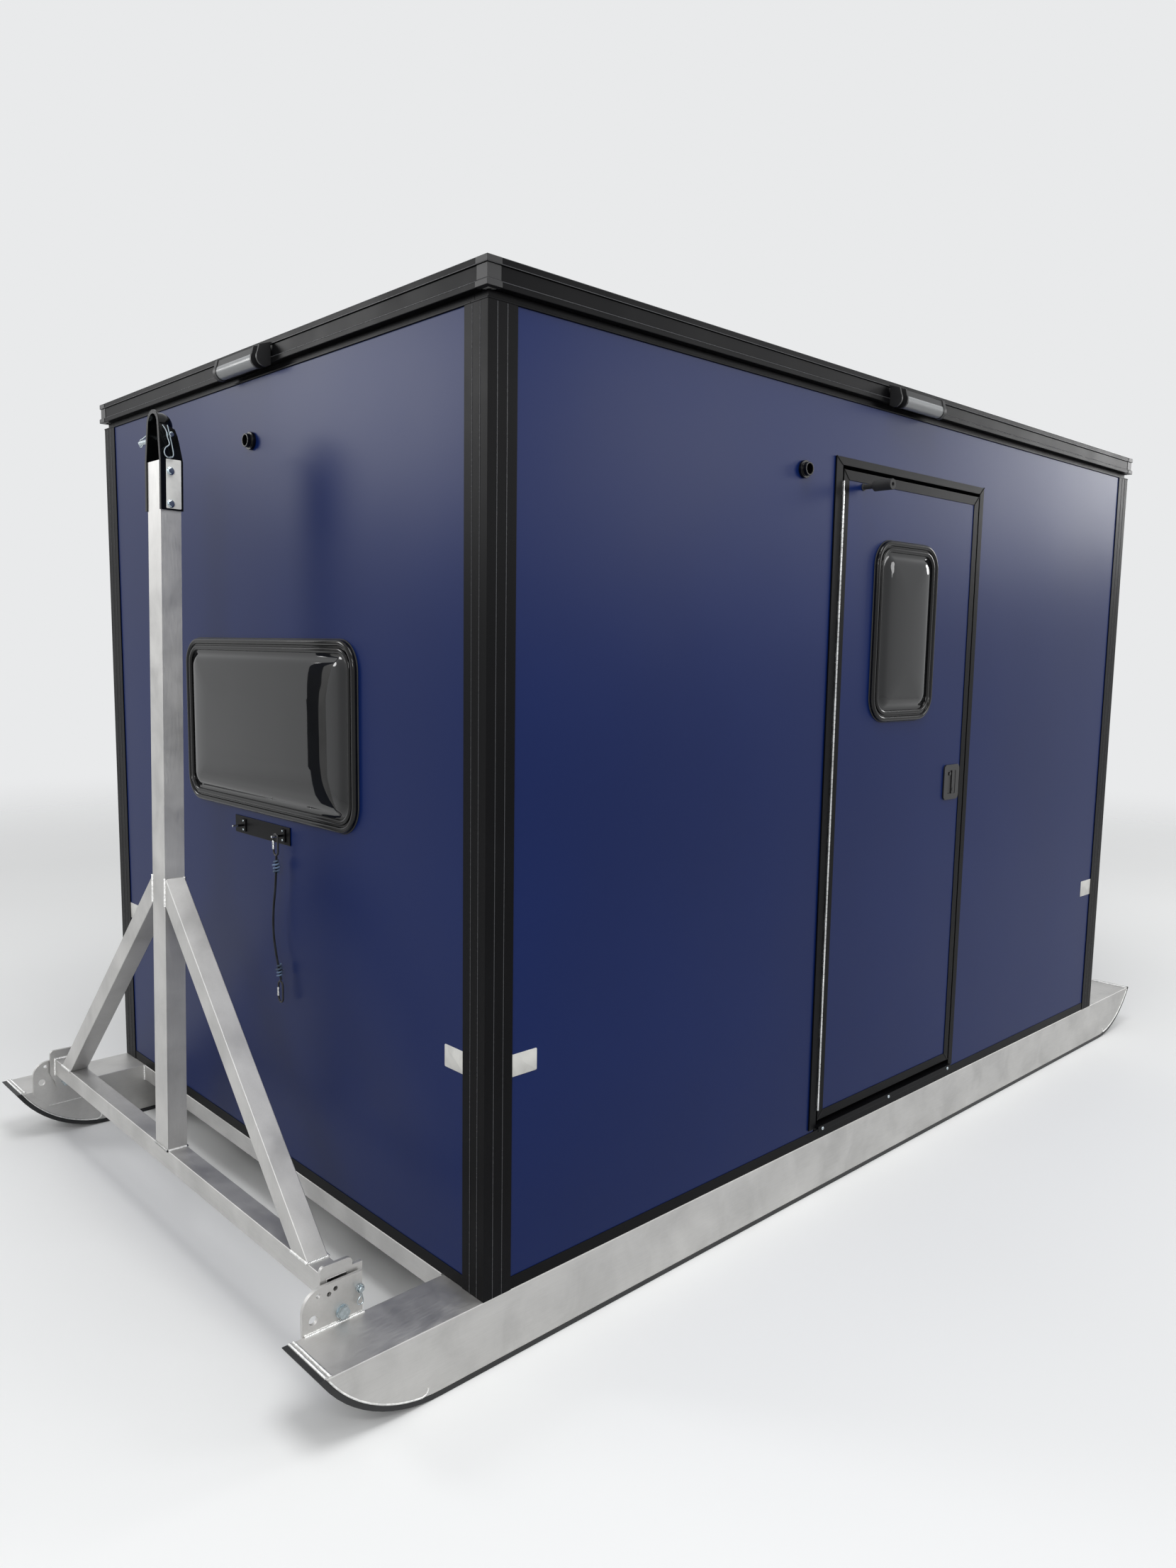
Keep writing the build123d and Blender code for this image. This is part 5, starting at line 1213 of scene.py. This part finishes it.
def bead_tree():
    """Geometry nodes that turn paths into weld beads: closed rods with ripples along them."""
    inputs = (("Radius", "Float"), ("Pitch", "Float"), ("Ripple", "Float"))
    tree, given = open_tree("bead_along_paths", inputs)
    line = add_node(tree, "GeometryNodeMeshToCurve", {"Mesh": given["Geometry"]})
    step = add_node(tree, "ShaderNodeMath", {0: given["Pitch"], 1: 4.0}, operation="DIVIDE")
    spaced = {"Curve": line, "Length": step}
    even = add_node(tree, "GeometryNodeResampleCurve", spaced, mode="LENGTH")
    # One plus the ripple's share of a sine that turns once in each pitch
    share = add_node(tree, "GeometryNodeSplineParameter").outputs["Length"]
    for operation, value in (
        ("DIVIDE", given["Pitch"]),
        ("MULTIPLY", 2 * pi),
        ("SINE", 0.0),
        ("MULTIPLY", given["Ripple"]),
        ("ADD", 1.0),
    ):
        share = add_node(tree, "ShaderNodeMath", {0: share, 1: value}, operation=operation)
    section = {"Resolution": 8, "Radius": given["Radius"]}
    ring = add_node(tree, "GeometryNodeCurvePrimitiveCircle", section, mode="RADIUS")
    swept = {"Curve": even, "Profile Curve": ring, "Scale": share, "Fill Caps": True}
    rod = add_node(tree, "GeometryNodeCurveToMesh", swept)
    return close_tree(tree, add_node(tree, "GeometryNodeSetShadeSmooth", {"Geometry": rod}), given)


def beads(name, paths, tree, kind, radius, pitch, ripple=0.0):
    """Rods of one finish along paths, plain or rippled."""
    settings = {"Radius": radius, "Pitch": pitch, "Ripple": ripple, "Material": finish(kind)}
    return grow(path_piece(name, paths), tree, settings)


class HUT_OT_welds(bpy.types.Operator):
    """Lay the weld beads on the hitch and on the skis"""

    bl_idname = "hut.welds"
    bl_label = "Welds"

    # Gauge of a hitch end plate, its gap to the pivot plate, and the round of a ski's nose
    PLATE_GAUGE = 8
    PLATE_GAP = 5
    NOSE_CENTRE = (107.6, 172)
    NOSE_RADIUS = 317.5

    # How much a bead swells and shrinks at its ripples
    RIPPLE = 0.18

    def hitch_paths(self):
        """Beads where the mast and the braces meet the crossbar, and the braces meet the mast."""
        front, back, half, top = -30.5, 19.5, 38.0, 75.0
        brace_foot = 745.0
        brace_head = top + brace_foot - half
        across = 50 / sin(radians(45))
        plate = ((FAR_Y - NEAR_Y) / 2 - SKI_WIDTH) / MM - self.PLATE_GAUGE - self.PLATE_GAP
        corners = ((front, 25), (back, 25), (back, 75), (front, 75), (front, 25))
        paths = []
        for side in (-1, 1):
            edge, foot = side * half, side * brace_foot
            for depth in (front, back):
                paths += [
                    [(depth, -half, top), (depth, half, top)],
                    [(depth, side * (brace_foot - across), top), (depth, foot, top)],
                    [(depth, edge, brace_head - across), (depth, edge, brace_head)],
                ]
            paths += [
                [(front, foot, top), (back, foot, top)],
                [(front, edge, top), (back, edge, top)],
                [(x, side * (plate - self.PLATE_GAUGE), z) for x, z in corners],
            ]
        return [[hitch_point(*spot) for spot in path] for path in paths]

    def nose_bead(self, end, y):
        """A bead on a ski's side face that follows the sheet's edge round the nose."""
        (middle, rise), radius = self.NOSE_CENTRE, self.NOSE_RADIUS
        turn = [radians(56 - 47 * k / 16) for k in range(17)]
        path = [(middle + radius * sin(a), rise - radius * cos(a)) for a in turn]
        path += [(146, -139), (142.5, -133), (142, -126)]
        return [(end * (END_X + x * MM), y, DECK_Z + z * MM) for x, z in path]

    def nose_paths(self):
        """Fine beads round the noses on both faces of both skis."""
        faces = (NEAR_Y, NEAR_Y + SKI_WIDTH, FAR_Y - SKI_WIDTH, FAR_Y)
        return [self.nose_bead(end, y) for end in (-1, 1) for y in faces]

    def hut_paths(self):
        """Beads across the skis' noses, along the pivot plates' feet and at the beams' ends."""
        paths = []
        front, foot, rear = (-END_X - reach * MM for reach in (342, 300, 205))
        for outer, inward in ((NEAR_Y, 1), (FAR_Y, -1)):
            y = outer + inward * SKI_WIDTH
            near, far = outer + inward * 3 * MM, y - inward * 3 * MM
            for end in (-1, 1):
                for x in (375.5, 366.0):
                    tip = end * (END_X + x * MM)
                    paths.append([(tip, near, DECK_Z), (tip, far, DECK_Z)])
            for inset in (0, 5):
                edge = y - inward * inset * MM
                paths.append([(front, edge, DECK_Z), (rear, edge, DECK_Z)])
            foot_y, foot_z = y + inward * 3 * MM, DECK_Z - 53 * MM
            paths.append([(foot, foot_y, foot_z), (rear, foot_y, foot_z)])
            paths.append([(-END_X, y, DECK_Z - 50 * MM), (-END_X, y, DECK_Z)])
        return paths

    def execute(self, context):
        sizes = context.scene.hut_sizes
        tree = bead_tree()
        for name, paths, share, body in (
            ("hitch_weld_beads", self.hitch_paths(), 1, "hitch"),
            ("ski_weld_beads", self.hut_paths(), 1, "hut"),
            ("nose_weld_beads", self.nose_paths(), 0.6, "hut"),
        ):
            radius = sizes.weld_radius * share
            piece = beads(name, paths, tree, "weld", radius, sizes.weld_pitch, self.RIPPLE)
            keep_piece(piece, body, "mill_aluminium")
        return {"FINISHED"}


class HUT_OT_ribs(bpy.types.Operator):
    """Run the fine ribs along the roof edge and the corner posts, paler as a painted highlight"""

    bl_idname = "hut.ribs"
    bl_label = "Ribs"

    # Height over the floor and reach from the wall's plane, of the ribs on the roof edge
    EDGE_RIBS = ((2082, 10.0), (2114, 9.0), (2126, 9.0))

    # Distances of the ribs from a corner post's edge, and how coarsely a straight rib is cut
    POST_RIBS = (24.0, 49.0)
    RIB_PITCH = 400 * MM

    def execute(self, context):
        paths = []
        for height, reach in self.EDGE_RIBS:
            z = DECK_Z + height * MM
            x, low, high = END_X + reach * MM, NEAR_Y - reach * MM, FAR_Y + reach * MM
            near, far = ((-x, low), (x, low)), ((-x, high), (x, high))
            for start, end in (near, far, *zip(near, far)):
                paths.append([(*start, z), (*end, z)])
        foot, head = POST_LOW.z + 1 * MM, POST_HIGH.z - 1 * MM
        for side in (-1, 1):
            for face, inward in ((NEAR_Y, 1), (FAR_Y, -1)):
                for step in self.POST_RIBS:
                    on_end = (side * END_X, face + inward * step * MM)
                    on_long_wall = (side * (END_X - step * MM), face)
                    for x, y in (on_end, on_long_wall):
                        paths.append([(x, y, foot), (x, y, head)])
        radius = context.scene.hut_sizes.rib_radius
        ribs = beads("extrusion_ribs", paths, bead_tree(), "rib", radius, self.RIB_PITCH)
        keep_piece(ribs, "hut", "black_extrusion")
        return {"FINISHED"}


class HUT_OT_joints(bpy.types.Operator):
    """Draw painted shadow lines in the mitred corners of the door's frame and trim"""

    bl_idname = "hut.joints"
    bl_label = "Joint lines"

    # How wide the lines are drawn, and how finely they are cut along their length
    LINE_RADIUS = 1.6 * MM
    LINE_PITCH = 8 * MM

    # Both ends of each line, from the hitch end and over the floor
    FRAME_LINES = (((1165, 1903), (1195, 1882)), ((1962, 1903), (1938, 1882)))
    TRIM_TOP_LINES = (((1201, 1872), (1227, 1846)), ((1932, 1872), (1906, 1846)))
    TRIM_FOOT_LINES = (((1201, 60), (1227, 86)), ((1932, 60), (1906, 86)))

    def execute(self, context):
        tree = bead_tree()
        for name, lines, body in (
            ("frame_mitre_lines", self.FRAME_LINES, "hut"),
            ("trim_mitre_lines", self.TRIM_TOP_LINES + self.TRIM_FOOT_LINES, "door"),
        ):
            paths = [
                [(-END_X + x * MM, DOOR_FACE_Y, DECK_Z + z * MM) for x, z in line] for line in lines
            ]
            piece = beads(name, paths, tree, "seam", self.LINE_RADIUS, self.LINE_PITCH)
            keep_piece(piece, body, "black_extrusion")
        return {"FINISHED"}


def screw_tree():
    """Geometry nodes that set a screw head at every point, facing the way the point says."""
    tree, given = open_tree("screw_heads", (("Head", "Object"), ("Size", "Float"), ("Seed", "Int")))
    head = add_node(tree, "GeometryNodeObjectInfo", {"Object": given["Head"]})
    named = {"Name": "facing"}
    facing = add_node(tree, "GeometryNodeInputNamedAttribute", named, data_type="FLOAT_VECTOR")
    aim = {"Vector": facing.outputs["Attribute"]}
    aimed = add_node(tree, "FunctionNodeAlignRotationToVector", aim, axis="Z")
    spin = add_node(tree, "FunctionNodeRandomValue", {"Seed": given["Seed"]}, data_type="FLOAT")
    angle = add_node(tree, "ShaderNodeMath", {0: spin.outputs[1], 1: 2 * pi}, operation="MULTIPLY")
    twist = {"Rotation": aimed, "Rotate By": add_node(tree, "ShaderNodeCombineXYZ", {"Z": angle})}
    rotated = add_node(tree, "FunctionNodeRotateRotation", twist, rotation_space="LOCAL")
    spread = {
        "Points": given["Geometry"],
        "Instance": head.outputs["Geometry"],
        "Rotation": rotated,
        "Scale": given["Size"],
    }
    return close_tree(tree, add_node(tree, "GeometryNodeInstanceOnPoints", spread), given)


# Reach of a screw's cross slot at five points in turn
SLOT = (0.34, 0.14, 0.1, 0.1, 0.14)


def screw_head():
    """A pan head with a cross slot, one unit in radius, facing +Z."""
    shell = bmesh.new()
    profile = ((1.0, -0.1), (1.0, 0.18), (0.93, 0.36), (0.72, 0.52), (0.4, 0.6))
    turn = [2 * pi * k / 20 for k in range(20)]
    loops = [[Vector((r * cos(a), r * sin(a), z)) for a in turn] for r, z in profile]
    reaches = zip(turn, SLOT * 4)
    cross = [Vector((reach * cos(a), reach * sin(a), 0.6)) for a, reach in reaches]
    loops.append(cross)
    loops.append([Vector((point.x * 0.8, point.y * 0.8, 0.3)) for point in cross])
    loft(shell, loops)
    return piece_from(shell, "screw_head", "zinc")


class HUT_OT_screws(bpy.types.Operator):
    """Set the screws of the sill and the rivets of the hook pads"""

    bl_idname = "hut.screws"
    bl_label = "Screws"

    # Places of the sill's screws from the hitch end, and their height over the floor
    SILL_SCREWS = (1215, 1561, 1916)
    SILL_HEIGHT = 36

    # Drops of a hook pad's rivets from its rod, the pad's gauge, and the size of their heads
    RIVET_DROPS = (-12, 12)
    PAD_GAUGE = 3 * MM
    RIVET_SHARE = 0.6
    SEED = 7

    def execute(self, context):
        sizes = context.scene.hut_sizes
        head = screw_head()
        tree = screw_tree()
        y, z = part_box("door_sill")[0].y, DECK_Z + self.SILL_HEIGHT * MM
        sill = [(-END_X + x * MM, y, z) for x in self.SILL_SCREWS]
        pads = [
            (-END_X - self.PAD_GAUGE, NEAR_Y + along * MM, HOOK_Z + drop * MM)
            for along in HOOKS_ALONG
            for drop in self.RIVET_DROPS
        ]
        for name, points, facing, size in (
            ("sill_screws", sill, (0, -1, 0), sizes.screw_radius),
            ("hook_rivets", pads, (-1, 0, 0), sizes.screw_radius * self.RIVET_SHARE),
        ):
            mesh = bpy.data.meshes.new(name)
            mesh.from_pydata(points, [], [])
            facings = mesh.attributes.new("facing", "FLOAT_VECTOR", "POINT")
            facings.data.foreach_set("vector", list(facing) * len(points))
            piece = place_object(name, mesh)
            settings = {"Head": head, "Size": size, "Seed": self.SEED, "Material": finish("zinc")}
            keep_piece(grow(piece, tree, settings), "hut", "zinc_hardware")
        bpy.data.objects.remove(head)
        return {"FINISHED"}


class HUT_OT_labels(bpy.types.Operator):
    """Stick the blank labels on the walls and on the coupler"""

    bl_idname = "hut.labels"
    bl_label = "Labels"

    # How far the labels' own plane is from the posts' plane
    LABEL_PLANE = -2 * MM

    # The label on the coupler: its width, its height and how high its middle is over the pivot
    PLATE_SIZE = (37, 116)
    PLATE_HEIGHT = 1745

    def sheet(self, shell, width, height, corner, edge, at):
        """A thin sheet with round corners, from the heights and insets of its edge."""
        loops = []
        for lift, inset in edge:
            halves = ((width / 2 - inset) * MM, (height / 2 - inset) * MM)
            outline = rounded_loop(*halves, corner * MM, 4)
            loops.append([at(x, y, lift) for x, y in outline])
        loft(shell, loops)

    def execute(self, context):
        walls, plate = bmesh.new(), bmesh.new()
        edge = ((-1.2, 0), (0.2, 0), (0.35, 0.3))
        for place, width, height in (
            (door_wall_place(110, 505, self.LABEL_PLANE), 70, 49),
            (door_wall_place(2943, 497, self.LABEL_PLANE), 86, 59),
            (end_wall_place(-1, 105, 509, self.LABEL_PLANE), 73, 50),
            (end_wall_place(-1, 1856, 509, self.LABEL_PLANE), 73, 50),
        ):
            self.sheet(walls, width, height, 3, edge, lambda x, y, lift: place.at(x, y, lift * MM))
        keep_piece(piece_from(walls, "wall_labels", "label"), "hut")

        def on_coupler(x, y, lift):
            return hitch_point(x / MM, -COUPLER_HALF - lift, self.PLATE_HEIGHT + y / MM)

        edge = ((-0.4, 0), (0.3, 0), (0.45, 0.4))
        self.sheet(plate, *self.PLATE_SIZE, 2, edge, on_coupler)
        keep_piece(piece_from(plate, "coupler_label", "label"), "hitch")
        return {"FINISHED"}


class HUT_PT_panel(bpy.types.Panel):
    """Lists the steps that dress the hut"""

    bl_idname = "HUT_PT_panel"
    bl_label = "Ice fishing hut"
    bl_space_type = "VIEW_3D"
    bl_region_type = "UI"
    bl_category = "Hut"

    def draw(self, context):
        for step in STEPS:
            self.layout.operator(step.bl_idname)
        for settings in (context.scene.hut_sizes, context.scene.hut_colours):
            for name in settings.__annotations__:
                self.layout.prop(settings, name)


STEPS = (
    HUT_OT_stage,
    HUT_OT_tether,
    HUT_OT_panels,
    HUT_OT_trims,
    HUT_OT_hinge,
    HUT_OT_windows,
    HUT_OT_fittings,
    HUT_OT_skis,
    HUT_OT_hitch,
    HUT_OT_welds,
    HUT_OT_ribs,
    HUT_OT_joints,
    HUT_OT_screws,
    HUT_OT_labels,
)
CLASSES = (HutColours, HutSizes, *STEPS, HUT_PT_panel)


def register():
    for each in CLASSES:
        bpy.utils.register_class(each)
    bpy.types.Scene.hut_colours = PointerProperty(type=HutColours)
    bpy.types.Scene.hut_sizes = PointerProperty(type=HutSizes)


def unregister():
    del bpy.types.Scene.hut_sizes
    del bpy.types.Scene.hut_colours
    for each in reversed(CLASSES):
        bpy.utils.unregister_class(each)


def main():
    register()
    for step in STEPS:
        getattr(bpy.ops.hut, step.bl_idname.split(".")[1])()


if __name__ == "__main__":
    main()
